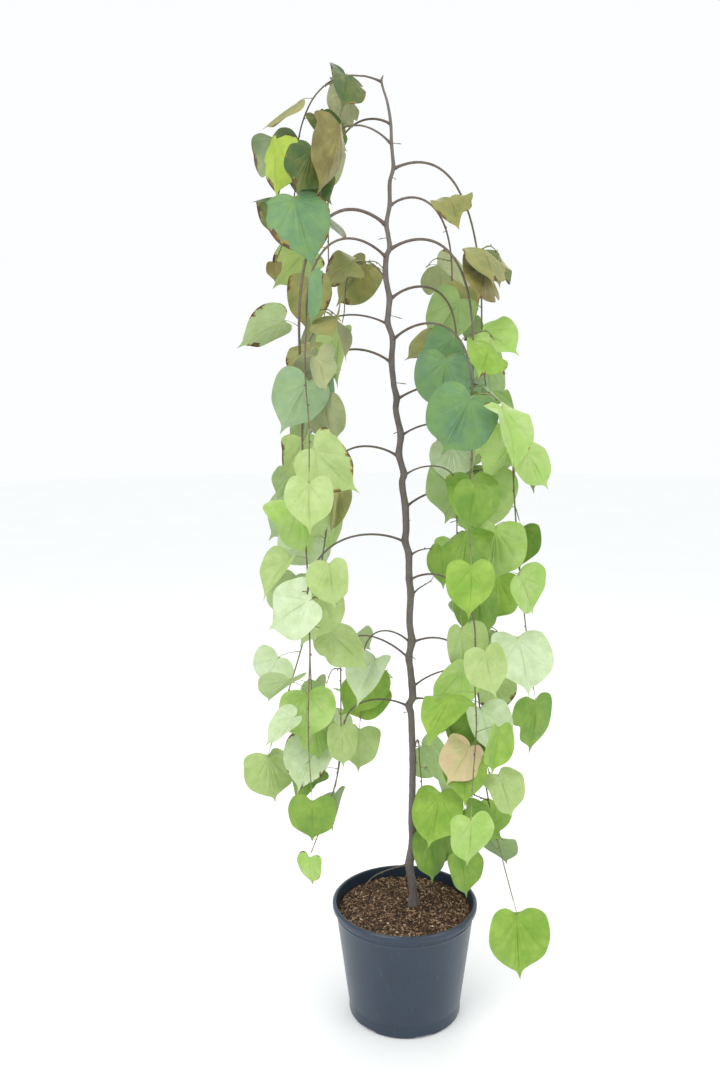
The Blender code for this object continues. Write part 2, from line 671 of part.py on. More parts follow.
def pot_profile():
    """The pot's half section as (radius, height): outside down from the lip, then back up inside."""
    ring_top = POT_HEIGHT - POT_RING_DROP
    ring_foot = ring_top - POT_RING_HEIGHT
    lip_foot = POT_HEIGHT - POT_LIP_HEIGHT

    def wall(height):
        share = (height - POT_STEP_HEIGHT) / (lip_foot - POT_STEP_HEIGHT)
        base = POT_BASE_RADIUS + POT_STEP_DEPTH
        return base + (POT_TOP_RADIUS - base) * share

    return [
        (POT_RIM_RADIUS - POT_LIP_ROUND, POT_HEIGHT),
        (POT_RIM_RADIUS, POT_HEIGHT - POT_LIP_ROUND),
        (POT_RIM_RADIUS, lip_foot),
        (POT_RIM_RADIUS - POT_LIP_LEDGE, lip_foot - POT_EDGE_SLOPE),
        (wall(lip_foot), lip_foot - POT_EDGE_SLOPE),
        (wall(ring_top), ring_top),
        (wall(ring_top) + POT_RING_PROUD, ring_top - POT_EDGE_SLOPE),
        (wall(ring_foot) + POT_RING_PROUD, ring_foot + POT_EDGE_SLOPE),
        (wall(ring_foot), ring_foot),
        (wall(POT_STEP_HEIGHT), POT_STEP_HEIGHT),
        (wall(POT_STEP_HEIGHT) - POT_STEP_DEPTH, POT_STEP_HEIGHT - POT_EDGE_SLOPE),
        (POT_BASE_RADIUS, POT_FOOT_ROUND),
        (POT_BASE_RADIUS - POT_FOOT_ROUND, 0.0),
        (0.0, 0.0),
        (0.0, POT_FLOOR),
        (POT_BASE_RADIUS - POT_FOOT_ROUND - POT_WALL, POT_FLOOR),
        (wall(lip_foot) - POT_WALL, lip_foot),
        (wall(lip_foot) - 0.5 * POT_WALL, POT_HEIGHT),
    ]


def turned(name, profile, steps, material):
    """A closed half section turned about the Z axis."""
    mesh = bpy.data.meshes.new(name)
    edges = [(index, (index + 1) % len(profile)) for index in range(len(profile))]
    on_axis = {index for index, (radius, _) in enumerate(profile) if radius == 0.0}
    edges = [edge for edge in edges if not on_axis.issuperset(edge)]
    mesh.from_pydata([(radius, 0, height) for radius, height in profile], edges, [])
    mesh.materials.append(material)
    obj = bpy.data.objects.new(name, mesh)
    bpy.context.scene.collection.objects.link(obj)
    screw = obj.modifiers.new("Turn", "SCREW")
    screw.steps = steps
    screw.render_steps = steps
    screw.use_merge_vertices = True
    screw.merge_threshold = 0.00001
    screw.use_smooth_shade = False
    return obj


def apply_modifiers(obj):
    """The object's mesh as its modifiers make it, with none left on it."""
    bpy.context.view_layer.update()
    graph = bpy.context.evaluated_depsgraph_get()
    mesh = bpy.data.meshes.new_from_object(obj.evaluated_get(graph))
    obj.modifiers.clear()
    obj.data = mesh


def make_box_cutter(name):
    """A unit cube that only cuts."""
    mesh = bpy.data.meshes.new(name)
    form = bmesh.new()
    bmesh.ops.create_cube(form, size=1)
    form.to_mesh(mesh)
    form.free()
    cutter = bpy.data.objects.new(name, mesh)
    cutter.hide_render = True
    cutter.display_type = "WIRE"
    return cutter


def make_pot(material):
    pot = turned("pot", pot_profile(), POT_STEPS, material)
    cutters = bpy.data.collections.new("drain cutters")
    bpy.context.scene.collection.children.link(cutters)
    for notch in range(DRAIN_NOTCHES):
        azimuth = DRAIN_FIRST_AZIMUTH + 360 * notch / DRAIN_NOTCHES
        cutter = make_box_cutter(f"drain_cutter_{notch + 1}")
        cutter.scale = (2 * DRAIN_REACH, DRAIN_WIDTH, 2 * DRAIN_HEIGHT)
        cutter.rotation_euler = (0, 0, math.radians(azimuth))
        cutter.location = toward(azimuth) * POT_BASE_RADIUS
        cutters.objects.link(cutter)
    cut = pot.modifiers.new("Drain notches", "BOOLEAN")
    cut.operation = "DIFFERENCE"
    cut.solver = "EXACT"
    cut.operand_type = "COLLECTION"
    cut.collection = cutters
    apply_modifiers(pot)
    remove_collection(cutters)
    shade_round(pot)
    return pot


def make_soil(material):
    """The compost: it fills the pot clear of its wall, level round the trunk and lower at the wall."""
    lip_foot = POT_HEIGHT - POT_LIP_HEIGHT
    foot_radius = POT_BASE_RADIUS - POT_FOOT_ROUND - POT_WALL
    top_radius = POT_TOP_RADIUS - POT_WALL

    def inside(height):
        share = (height - POT_FLOOR) / (lip_foot - POT_FLOOR)
        return foot_radius + (top_radius - foot_radius) * share - 2 * SEAM

    edge_top = SOIL_TOP - SOIL_EDGE_DROP
    profile = [
        (0.0, SOIL_TOP),
        (SOIL_FLAT_RADIUS, SOIL_TOP),
        (SOIL_BEND_RADIUS * inside(edge_top), SOIL_TOP - SOIL_BEND_DROP * SOIL_EDGE_DROP),
        (inside(edge_top), edge_top),
        (inside(POT_FLOOR + SEAM), POT_FLOOR + SEAM),
        (0.0, POT_FLOOR + SEAM),
    ]
    soil = turned("soil", profile, POT_STEPS, material)
    shade_round(soil)
    return soil


def make_trunk(material):
    """The trunk as a tapering tube, its lowest rings pushed out into root lobes."""
    corners = []
    for height, centre in trunk_rings():
        flare = max(0.0, 1 - (height - TRUNK_FOOT) / FLARE_HEIGHT)
        for side in range(TRUNK_SIDES):
            turn = 2 * math.pi * side / TRUNK_SIDES
            reach = trunk_radius(height) * (1 + FLARE_DEPTH * flare * math.cos(FLARE_LOBES * turn))
            corners.append(centre + toward(math.degrees(turn)) * reach)
    trunk = make_object("trunk", corners, tube_faces(len(trunk_rings()), TRUNK_SIDES), material)
    shade_round(trunk)
    return trunk


def make_bough(limb, material):
    """A tapering limb from the trunk's side to where the leaves begin, cut flat at both ends."""
    points = bough_path(limb)
    radii = taper(len(points), limb.radius, limb.radius * SHOOT_SHARE)
    shape = tube_shape(points, radii, BOUGH_SIDES, toward(limb.azimuth), arch_heading(limb, limb.ends))
    bough = make_object("bough_" + limb.name, *shape, material)
    shade_round(bough)
    return bough


def make_bare_twig(twig, material):
    points = bare_twig_path(twig)
    radii = taper(len(points), twig.radius, TIP_RADIUS)
    shape = tube_shape(points, radii, BARE_TWIG_SIDES, toward(twig.azimuth))
    return make_object("twig_" + twig.name, *shape, material)


def remove_collection(collection):
    for obj in list(collection.objects):
        mesh = obj.data
        bpy.data.objects.remove(obj)
        bpy.data.meshes.remove(mesh)
    bpy.data.collections.remove(collection)


def make_foliage(limb, path, twigs, leaves, material):
    """One mass: its shoot with the twigs, the leaf stalks and the leaves joined to it."""
    parts = bpy.data.collections.new("parts of " + limb.name)
    bpy.context.scene.collection.children.link(parts)

    def add(corners, faces):
        obj = make_object("piece", corners, faces, material)
        bpy.context.scene.collection.objects.unlink(obj)
        parts.objects.link(obj)

    for twig in twigs:
        add(*tube_shape(twig, taper(len(twig), TWIG_RADIUS, TIP_RADIUS), STEM_SIDES))
    for leaf in leaves:
        add(*leaf_solid(leaf))
    radii = stem_radii(limb, path)
    foot = toward(limb.azimuth) if limb.name in SHORT_LIMBS else arch_heading(limb, limb.ends)
    foliage = make_object("foliage_" + limb.name, *tube_shape(path, radii, STEM_SIDES, foot), material)
    union = foliage.modifiers.new("Join", "BOOLEAN")
    union.operation = "UNION"
    union.solver = "MANIFOLD"
    union.operand_type = "COLLECTION"
    union.collection = parts
    apply_modifiers(foliage)
    remove_collection(parts)
    return foliage


def clear_scene():
    for obj in list(bpy.data.objects):
        bpy.data.objects.remove(obj)


def main():
    clear_scene()
    plastic = make_material("dark plastic", (0.030, 0.036, 0.045), 0.42)
    compost = make_material("compost", (0.085, 0.050, 0.028), 0.95)
    bark = make_material("bark", (0.085, 0.068, 0.055), 0.85)
    greens = (
        make_material("upper leaves", (0.070, 0.120, 0.050), 0.55),
        make_material("middle leaves", (0.160, 0.300, 0.050), 0.55),
        make_material("lower leaves", (0.280, 0.460, 0.090), 0.55),
    )
    make_pot(plastic)
    make_soil(compost)
    make_trunk(bark)
    for twig in BARE_TWIGS:
        make_bare_twig(twig, bark)
    stems, masses = plan_plant()
    for limb in LIMBS:
        if limb.name not in SHORT_LIMBS:
            make_bough(limb, bark)
        twigs, leaves = masses[limb.name]
        band = int(limb.height < UPPER_LEAVES) + int(limb.height < MIDDLE_LEAVES)
        make_foliage(limb, stems[limb.name], twigs, leaves, greens[band])


if __name__ == "__main__":
    main()
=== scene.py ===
"""Dresses the solids of a young weeping redbud in a nursery pot with bark, shoots, leaves, pot and compost.

Metres, +Z up. The origin is the centre of the pot's underside, +X is to the viewer's right, and the
viewer stands on the -Y side. An azimuth is in degrees, 0 along +X and 90 along +Y, away from the viewer.
The limbs, twigs and leaves follow the same rule and seeds as the solids, and are carried on to buds,
spurs, veins and the leaves' own outline.
"""

import functools
import itertools
import math
import random
from collections import namedtuple

import bpy
import numpy as np
from bpy.props import FloatProperty, FloatVectorProperty, IntProperty, PointerProperty
from mathutils import Euler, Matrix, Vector
from mathutils.bvhtree import BVHTree


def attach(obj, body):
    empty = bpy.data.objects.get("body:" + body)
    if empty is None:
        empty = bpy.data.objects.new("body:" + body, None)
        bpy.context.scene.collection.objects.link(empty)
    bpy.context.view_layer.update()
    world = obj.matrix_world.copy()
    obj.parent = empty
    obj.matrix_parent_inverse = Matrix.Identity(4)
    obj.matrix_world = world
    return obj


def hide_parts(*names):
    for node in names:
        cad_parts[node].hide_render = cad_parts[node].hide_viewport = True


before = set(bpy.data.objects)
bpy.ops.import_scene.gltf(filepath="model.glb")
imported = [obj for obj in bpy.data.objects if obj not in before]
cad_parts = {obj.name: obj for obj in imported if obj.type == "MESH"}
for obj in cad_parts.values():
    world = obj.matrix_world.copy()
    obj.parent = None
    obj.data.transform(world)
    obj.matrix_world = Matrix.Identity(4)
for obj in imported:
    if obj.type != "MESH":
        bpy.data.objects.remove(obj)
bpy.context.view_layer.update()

bl_info = {
    "name": "Weeping redbud in a pot",
    "version": (1, 0, 0),
    "blender": (4, 5, 0),
    "location": "3D View > Sidebar > Redbud",
    "description": "Bark, shoots, leaves, pot and compost for a potted weeping redbud",
    "category": "Object",
}

# Between solids that touch on the real plant
SEAM = 0.0003

# Pot
POT_HEIGHT = 0.285
POT_RIM_RADIUS = 0.1775
POT_TOP_RADIUS = 0.1700
POT_BASE_RADIUS = 0.1380
POT_WALL = 0.0030
POT_FLOOR = 0.0080
POT_LIP_HEIGHT = 0.0150
POT_LIP_LEDGE = 0.0030
POT_RING_DROP = 0.0280
POT_RING_PROUD = 0.0012
POT_RING_HEIGHT = 0.0050
POT_STEP_HEIGHT = 0.0340
POT_STEP_DEPTH = 0.0020
POT_FOOT_ROUND = 0.0040
POT_LIP_ROUND = 0.0038
POT_EDGE_SLOPE = 0.0010
DRAIN_NOTCHES = 6
DRAIN_WIDTH = 0.0450
DRAIN_HEIGHT = 0.0065
DRAIN_REACH = 0.0200
DRAIN_FIRST_AZIMUTH = 287.0

# Soil
SOIL_TOP = 0.2650
SOIL_EDGE_DROP = 0.0050

# Trunk, as height above the ground against sideways lean and against radius
TRUNK_FOOT = SOIL_TOP + SEAM
TRUNK_TIP = 2.198
TRUNK_LEAN = (
    (TRUNK_FOOT, 0.022),
    (0.370, 0.016),
    (0.620, 0.019),
    (0.850, 0.013),
    (1.000, 0.011),
    (1.170, 0.004),
    (1.330, -0.007),
    (1.560, -0.026),
    (1.760, -0.040),
    (1.930, -0.037),
    (2.070, -0.026),
    (TRUNK_TIP, -0.048),
)
TRUNK_RADII = (
    (TRUNK_FOOT, 0.0145),
    (0.300, 0.0102),
    (0.600, 0.0081),
    (1.200, 0.0079),
    (1.750, 0.0062),
    (1.950, 0.0046),
    (2.100, 0.0032),
    (TRUNK_TIP, 0.0024),
)
TRUNK_SWAY = 0.004
TRUNK_SWAY_RATE = 5.0
TRUNK_KINK = 0.0042
TRUNK_RING_STEP = 0.055
TRUNK_RING_LEAST = 0.020
TRUNK_SIDES = 10
FLARE_LOBES = 5
FLARE_DEPTH = 0.18
FLARE_HEIGHT = 0.040
FLARE_RINGS = (0.3, 0.7)

# Limbs
SHOOT_SHARE = 0.80
TIP_RADIUS = 0.0012
BOUGH_SIDES = 5
BOUGH_RINGS = 7
STEM_SIDES = 3
STEM_ARCH_RINGS = 5
STEM_HANG_STEP = 0.100
STEM_WAVE = 0.006
STEM_WAVE_RATE = 16.0
ARCH_LEAD = 0.35
HEADING_STEP = 0.01
DRIFT_CURVE = 1.5
BARE_TWIG_RINGS = 4

# Leaves, in units of the leaf's width: half of the heart's outline from notch to tip, and the midrib
LEAF_OUTLINE = ((0.21, -0.12), (0.44, -0.04), (0.52, 0.25), (0.43, 0.58), (0.15, 0.86))
LEAF_TIP = 1.06
LEAF_MIDRIB = (0.12, 0.58)
LEAF_FOLD = 0.16
LEAF_CURL = 0.10
LEAF_LOBE_CORNERS = 3
STALK_RADIUS = 0.0008
STALK_BEND = 0.05
ROOT_SUNK = 0.005

# How a leaf is drawn: the most it turns from its mass's facing, the share turned right round, its tilt
# up and its lean aside as ranges in degrees, and its stalk in units of the leaf and of the stalk. An end
# leaf's space is in units of that leaf
LEAF_TURN = 62
LEAF_TURNED_BACK = 0.22
LEAF_TILTS = (-12, 58)
LEAF_LEANS = (-15, 62)
STALK_LENGTHS = (0.28, 0.50)
STALK_LIFTS = (-0.25, 0.40)
STALK_FORWARDS = (0.30, 0.65)
STALK_ASIDE = 0.8
FACING_VIEWER = 270
FACING_AWAY = 90
END_LEAF_TURN = 40
END_LEAF_TILTS = (0, 25)
END_LEAF_STALK = 0.2
END_LEAF_SPACE = 1.4

# How the leaves are dealt out along a shoot, and the space that each one keeps
LEAF_FIRST = 0.03
LEAF_TRIES = 8
LEAF_ABSENT = 0.12
LEAF_PLACES = (0.1, 0.6)
LEAF_SIZE_SPREAD = 0.22
LEAF_CLEARANCE = 0.004
STALK_TESTED_FROM = 0.12
TRUNK_CLEARANCE = 0.030
LOWEST_LEAF = 0.045
POT_CLEARANCE = 0.010
TIP_LEAF_ALONE = 0.7

# A side twig: how often one stands, and its two straights and their rise and fall in units of its length
TWIG_EVERY = 3
TWIG_LENGTH = 0.085
TWIG_LENGTHS = (0.7, 1.3)
TWIG_TURN = 50
TWIG_FIRST = 0.55
TWIG_RISE = 0.10
TWIG_SECOND = 0.35
TWIG_FALL = 0.30
TWIG_RADIUS = 0.0016
TWIG_TESTED_FROM = 0.2

# The leaves are three pieces, by the height of their limbs
UPPER_LEAVES = 1.65
MIDDLE_LEAVES = 1.0
LEAF_PIECES = (
    ("leaves_upper", UPPER_LEAVES, TRUNK_TIP),
    ("leaves_middle", MIDDLE_LEAVES, UPPER_LEAVES),
    ("leaves_lower", 0.0, MIDDLE_LEAVES),
)

# One row for each leafy limb. It leaves the trunk with its radius, at height along azimuth, arches out
# to reach with its control points at rise, and comes down to drop below its start. The bough ends at
# the share ends of that arch, where the shoot enters the leaves. The shoot hangs on for hang, and moves
# out by drift. Its leaves stand step apart, leaf wide, within sleeve of it, the one at its end tip wide.
Limb = namedtuple(
    "Limb", "name radius height azimuth reach rise drop ends hang drift step leaf sleeve tip seed"
)
LIMB_ROWS = """
left_1 .0024 2.186 174 .19 .032 .22 .16 .15 .045 .042 .105 .13 .04 131
left_2 .0024 2.059 192 .155 .055 .1 .35 .17 .02 .055 .12 .13 .11 175
left_3 .0038 1.889 200 .2 .053 .24 .92 .86 -.02 .085 .12 .17 .1 150
left_4 .0018 1.78 150 .1 .05 .05 .5 .05 .01 .04 .11 .12 .11 162
left_5 .0023 1.675 160 .195 .035 .09 .6 .15 .01 .065 .105 .13 .12 62
left_6 .0027 1.378 188 .15 .035 .06 .6 .62 .15 .085 .12 .15 .11 20
left_7 .0022 .94 165 .11 .035 .06 .55 .15 .01 .06 .1 .12 .1 13
left_8 .0024 .783 188 .15 .03 .06 .55 .3 .08 .065 .105 .14 .07 91
right_1 .0031 2.007 12 .205 .035 .37 .55 .42 .1 .075 .11 .15 .1 131
right_2 .0034 1.837 342 .185 .035 .23 .7 .25 0 .07 .115 .14 .12 27
right_3 .0032 1.73 20 .16 .045 .1 .6 .21 -.01 .06 .105 .12 .1 35
right_5 .0026 1.508 352 .255 .055 .08 .75 .6 .06 .08 .12 .14 .12 70
right_6 .0023 1.425 18 .17 .038 .06 .65 .3 .02 .07 .13 .15 .12 202
right_7 .002 1.335 338 .12 .03 .03 .6 .3 .01 .07 .11 .13 .12 179
right_10 .0025 .94 348 .155 .025 .2 .6 .43 .085 .08 .11 .13 .165 30
right_11 .0021 .83 25 .18 .04 .05 .6 .26 .04 .065 .11 .13 .11 194
right_12 .0022 .8 345 .09 .005 .14 .6 .22 .02 .065 .1 .12 .1 216
right_13 .0018 .435 35 .11 .035 .05 .5 .06 .01 .05 .1 .12 .1 132
front_1 .003 1.82 228 .25 .05 .16 .62 .3 0 .085 .11 .14 .11 19
front_2 .003 1.64 308 .25 .05 .12 .62 .34 0 .085 .115 .14 .11 186
front_3 .0027 1.18 218 .27 .045 .1 .62 .44 0 .085 .11 .14 .1 220
front_4 .0026 1.09 304 .23 .045 .1 .62 .38 0 .085 .11 .14 .11 58
back_1 .0027 2.1 128 .23 .045 .14 .6 .26 .02 .07 .11 .14 .11 143
back_2 .003 1.93 52 .25 .05 .14 .6 .42 .01 .075 .115 .14 .11 4
back_3 .0029 1.59 138 .25 .05 .12 .6 .46 0 .08 .11 .14 .1 146
back_4 .0027 1.26 42 .25 .045 .12 .6 .42 0 .08 .11 .14 .1 77
back_5 .0025 .9 130 .25 .04 .08 .6 .33 .02 .07 .105 .14 .1 216
back_6 .002 .64 80 .13 .035 .05 .55 .15 .02 .055 .105 .13 .1 43
"""
LIMBS = tuple(
    Limb(name, *map(float, sizes), int(seed))
    for name, *sizes, seed in map(str.split, LIMB_ROWS.strip().splitlines())
)
# The shoots of these limbs leave the trunk themselves, with no bough
SHORT_LIMBS = ("left_4", "right_13", "back_6")

# Leafless twigs
BareTwig = namedtuple("BareTwig", "name radius height azimuth reach rise drop")
BARE_TWIGS = (
    BareTwig("bare_right_8", 0.002, 1.148, 340, 0.07, 0.02, -0.006),
    BareTwig("bare_right_9", 0.002, 1.054, 20, 0.05, 0.02, -0.04),
    BareTwig("bare_left_10", 0.0022, 0.375, 205, 0.11, 0, 0.04),
)


Shape = namedtuple("Shape", "tree points low high")
Leaf = namedtuple("Leaf", "root base axis normal size")
# Where a mass's leaves may be: within sleeve of the tree of its shoot, clear of what is near and taken
Space = namedtuple("Space", "tree sleeve near taken")


def blend(table, at):
    """The value at a height of a table of (height, value), eased in and out between its rows."""
    for (low, first), (high, second) in zip(table, table[1:]):
        if at <= high:
            share = min(max((at - low) / (high - low), 0.0), 1.0)
            return first + (second - first) * share * share * (3 - 2 * share)
    return table[-1][1]


def toward(azimuth, elevation=0.0):
    """The unit vector along an azimuth and an elevation in degrees."""
    turn, lift = math.radians(azimuth), math.radians(elevation)
    return Vector((math.cos(turn) * math.cos(lift), math.sin(turn) * math.cos(lift), math.sin(lift)))


@functools.cache
def trunk_rings():
    """The trunk's rings as (height, centre). One stands at each limb, bent towards it, others between."""
    limbs = {limb.height: limb for limb in LIMBS + BARE_TWIGS}
    count = round((TRUNK_TIP - TRUNK_FOOT) / TRUNK_RING_STEP)
    plain = [TRUNK_FOOT] + [TRUNK_FOOT + share * FLARE_HEIGHT for share in FLARE_RINGS]
    plain += [TRUNK_FOOT + (TRUNK_TIP - TRUNK_FOOT) * ring / count for ring in range(1, count)]
    plain = [height for height in plain if all(abs(height - other) > TRUNK_RING_LEAST for other in limbs)]
    rings = []
    for height in sorted(plain + list(limbs) + [TRUNK_TIP]):
        centre = Vector((blend(TRUNK_LEAN, height), TRUNK_SWAY * math.sin(TRUNK_SWAY_RATE * height), height))
        if height in limbs:
            centre += toward(limbs[height].azimuth) * TRUNK_KINK
        rings.append((height, centre))
    return rings


def trunk_centre(height):
    """The trunk's centre at a height, straight from ring to ring."""
    rings = trunk_rings()
    for (low, first), (high, second) in zip(rings, rings[1:]):
        if height <= high:
            return first + (second - first) * ((height - low) / (high - low))
    return rings[-1][1]


def trunk_radius(height):
    return blend(TRUNK_RADII, height)


def circle(centre, across, up, radius, sides):
    """Corners C + (A cos a + U sin a) r, evenly round."""
    angles = [2 * math.pi * side / sides for side in range(sides)]
    return [centre + (across * math.cos(angle) + up * math.sin(angle)) * radius for angle in angles]


def ring_at(centre, normal, radius, sides):
    """Corners round a centre, in the plane square to a normal."""
    helper = Vector((0, 0, 1)) if abs(normal.z) < 0.8 else Vector((0, 1, 0))
    across = normal.cross(helper).normalized()
    return circle(centre, across, normal.cross(across), radius, sides)


@functools.cache
def limb_root(limb):
    """Where a limb starts: its flat foot stands SEAM clear of the trunk at the corner that comes closest."""
    out = toward(limb.azimuth)
    root = trunk_centre(limb.height) + out * (trunk_radius(limb.height) + SEAM)
    short = 0.0
    for corner in ring_at(root, out, limb.radius, BOUGH_SIDES):
        distance = Vector((corner - trunk_centre(corner.z)).xy).length
        short = max(short, trunk_radius(corner.z) + SEAM - distance)
    return root + out * short


def arch_run(limb, s):
    """How far out, in reaches, and how high the arch is at its share s, with r = 1 - s: the cubic
    3 r^2 s lead + 3 r s^2 + s^3, and 3 r s rise - s^3 drop."""
    r = 1 - s
    return 3 * r * r * s * ARCH_LEAD + 3 * r * s * s + s**3, 3 * r * s * limb.rise - s**3 * limb.drop


def arch_point(limb, share):
    out, up = arch_run(limb, share)
    return limb_root(limb) + toward(limb.azimuth) * limb.reach * out + Vector((0, 0, up))


def arch_path(limb, first, last, rings):
    """Points of the arch, evenly dealt from one share of it to another."""
    return [arch_point(limb, first + (last - first) * ring / rings) for ring in range(rings + 1)]


def stem_path(limb):
    """The shoot: the rest of the arch, then down its hang with a slow wave, drifting outwards."""
    first = 0.0 if limb.name in SHORT_LIMBS else limb.ends
    points = arch_path(limb, first, 1, STEM_ARCH_RINGS)
    foot = points[-1]
    if limb.name not in SHORT_LIMBS:
        points[0] += (arch_point(limb, first + HEADING_STEP) - points[0]).normalized() * SEAM
    rings = max(2, round(limb.hang / STEM_HANG_STEP))
    for ring in range(1, rings + 1):
        share = ring / rings
        fall = limb.hang * share
        side = toward(limb.azimuth + 90) * (STEM_WAVE * math.sin(STEM_WAVE_RATE * (fall + limb.height)))
        out = toward(limb.azimuth) * limb.drift * share**DRIFT_CURVE
        points.append(foot + out + side - Vector((0, 0, fall)))
    return points


def along(points, distance):
    """The point at a distance along a path, and the path's direction there."""
    for here, ahead in zip(points, points[1:]):
        length = (ahead - here).length
        if distance <= length or ahead is points[-1]:
            return here.lerp(ahead, min(distance / length, 1.0)), (ahead - here).normalized()
        distance -= length
    raise ValueError("a path has at least two points")


def path_length(points):
    return sum((ahead - here).length for here, ahead in zip(points, points[1:]))


def taper(count, first, last):
    return [first + (last - first) * index / (count - 1) for index in range(count)]


def stem_radii(limb, path):
    first = limb.radius * (1 if limb.name in SHORT_LIMBS else SHOOT_SHARE)
    return taper(len(path), first, TIP_RADIUS)


def shape_of(corners, faces, points):
    tree = BVHTree.FromPolygons(corners, faces)
    low, high = (
        Vector([pick(corner[axis] for corner in corners) for axis in range(3)]) for pick in (min, max)
    )
    return Shape(tree, points, low, high)


def tube_test_shape(points, radii, sides):
    """A tube for testing what it would touch: rings square to the path, turned as little as can be."""
    corners = ring_at(points[0], (points[1] - points[0]).normalized(), radii[0], sides)
    across = (corners[0] - points[0]).normalized()
    for index in range(1, len(points)):
        ahead = (points[min(index + 1, len(points) - 1)] - points[index - 1]).normalized()
        across = (across - ahead * across.dot(ahead)).normalized()
        corners += circle(points[index], across, ahead.cross(across), radii[index], sides)
    last = len(corners) - sides
    faces = [tuple(range(sides))[::-1]]
    for low in range(0, last, sides):
        for side in range(sides):
            beside = (side + 1) % sides
            faces.append((low + side, low + beside, low + sides + beside, low + sides + side))
    faces.append(tuple(last + side for side in range(sides)))
    return shape_of(corners, faces, points)


def leaf_point(leaf, across, down):
    """A point of the blade: a shallow fold at the midrib and a tip that bends back."""
    side = leaf.axis.cross(leaf.normal)
    lift = LEAF_FOLD * abs(across) - LEAF_CURL * down * down
    return leaf.base + (side * across + leaf.axis * down + leaf.normal * lift) * leaf.size


def skin_faces(count):
    """Triangles between the rim's corners and the two midrib corners, which are numbered after them."""
    turn, upper, lower = LEAF_LOBE_CORNERS, count, count + 1
    faces = []
    for index in range(count):
        beside = (index + 1) % count
        centre = upper if max(min(index, count - index), min(beside, count - beside)) <= turn else lower
        faces.append((index, beside, centre))
    return faces + [(turn, lower, upper), (count - turn, upper, lower)]


def leaf_shape(leaf):
    """The blade and its stalk as thin sheets, for testing what they would touch, or none if they cross.
    The stalk turns into line with the blade just above its notch."""
    half = [(0, 0), *LEAF_OUTLINE, (0, LEAF_TIP)]
    rim = [leaf_point(leaf, *place) for place in half + [(-across, down) for across, down in half[-2:0:-1]]]
    blade = rim + [leaf_point(leaf, 0, down) for down in LEAF_MIDRIB]
    blade_faces = skin_faces(len(rim))
    bend = leaf.base - leaf.axis * STALK_BEND * leaf.size
    from_stem = leaf.root.lerp(bend, STALK_TESTED_FROM)
    stalk = [from_stem, bend, bend + leaf.normal.cross(bend - from_stem).normalized() * STALK_RADIUS]
    if BVHTree.FromPolygons(blade, blade_faces).overlap(BVHTree.FromPolygons(stalk, [(0, 1, 2)])):
        return None
    edges = [here.lerp(ahead, 0.5) for here, ahead in zip(rim, rim[1:] + rim[:1])]
    first = len(blade)
    return shape_of(blade + stalk, blade_faces + [(first, first + 1, first + 2)], blade + edges)


def clear_of(shape, others):
    """Whether a shape keeps LEAF_CLEARANCE to every other."""
    for other in others:
        if any(
            shape.low[axis] > other.high[axis] + LEAF_CLEARANCE
            or shape.high[axis] < other.low[axis] - LEAF_CLEARANCE
            for axis in range(3)
        ):
            continue
        if shape.tree.overlap(other.tree):
            return False
        for one, two in ((shape, other), (other, shape)):
            if any(two.tree.find_nearest(point, LEAF_CLEARANCE)[0] for point in one.points):
                return False
    return True


def in_space(shape, space):
    """Whether all of a leaf or twig is within its sleeve round the stem, off trunk, pot and floor."""
    for point in shape.points:
        if point.z < LOWEST_LEAF:
            return False
        if point.z < POT_HEIGHT + POT_CLEARANCE and point.xy.length < POT_RIM_RADIUS + POT_CLEARANCE:
            return False
        from_trunk = point - trunk_centre(point.z)
        if TRUNK_FOOT < point.z < TRUNK_TIP and Vector(from_trunk.xy).length < TRUNK_CLEARANCE:
            return False
        if space.tree.find_nearest(point, space.sleeve)[0] is None:
            return False
    return True


def fits(shape, space):
    return shape and in_space(shape, space) and clear_of(shape, space.near) and clear_of(shape, space.taken)


def draw_leaf(rng, root, side, facing, size):
    """One leaf by the rule: its stalk goes out to one side and forward, its blade hangs and faces out."""
    turn = facing + rng.uniform(-LEAF_TURN, LEAF_TURN)
    if rng.random() < LEAF_TURNED_BACK:
        turn += 180
    normal = toward(turn, rng.uniform(*LEAF_TILTS))
    across = toward(turn + 90)
    stalk = size * rng.uniform(*STALK_LENGTHS)
    lift = rng.uniform(*STALK_LIFTS)
    forward = rng.uniform(*STALK_FORWARDS)
    base = root + (across * side * STALK_ASIDE + toward(turn) * forward + Vector((0, 0, lift))) * stalk
    down = (normal.cross(across)).normalized()
    if down.z > 0:
        down = -down
    lean = math.radians(rng.uniform(*LEAF_LEANS)) * side
    axis = (down * math.cos(lean) + across * math.sin(lean)).normalized()
    return Leaf(root, base, axis, normal, size)


def leaf_facing(limb):
    """The viewer's side on the left and right limbs. In front and at the back, halfway towards the limb."""
    if limb.name.startswith(("left", "right")):
        return FACING_VIEWER
    straight = FACING_VIEWER if limb.name.startswith("front") else FACING_AWAY
    return (limb.azimuth + straight) / 2


def place_leaf(rng, root, side, facing, size, space):
    """The first of a few leaves drawn by the rule that keeps to its space, or none."""
    for _ in range(LEAF_TRIES):
        leaf = draw_leaf(rng, root, side, facing, size)
        shape = leaf_shape(leaf)
        if fits(shape, space):
            space.taken.append(shape)
            return leaf
        side = -side
    return None


def draw_twig(rng, root, side, facing):
    """A side twig: out and a little up, then bending down."""
    out = toward(facing + 90 * side + rng.uniform(-TWIG_TURN, TWIG_TURN))
    length = TWIG_LENGTH * rng.uniform(*TWIG_LENGTHS)
    middle = root + out * length * TWIG_FIRST + Vector((0, 0, TWIG_RISE * length))
    return [root, middle, middle + out * length * TWIG_SECOND - Vector((0, 0, TWIG_FALL * length))]


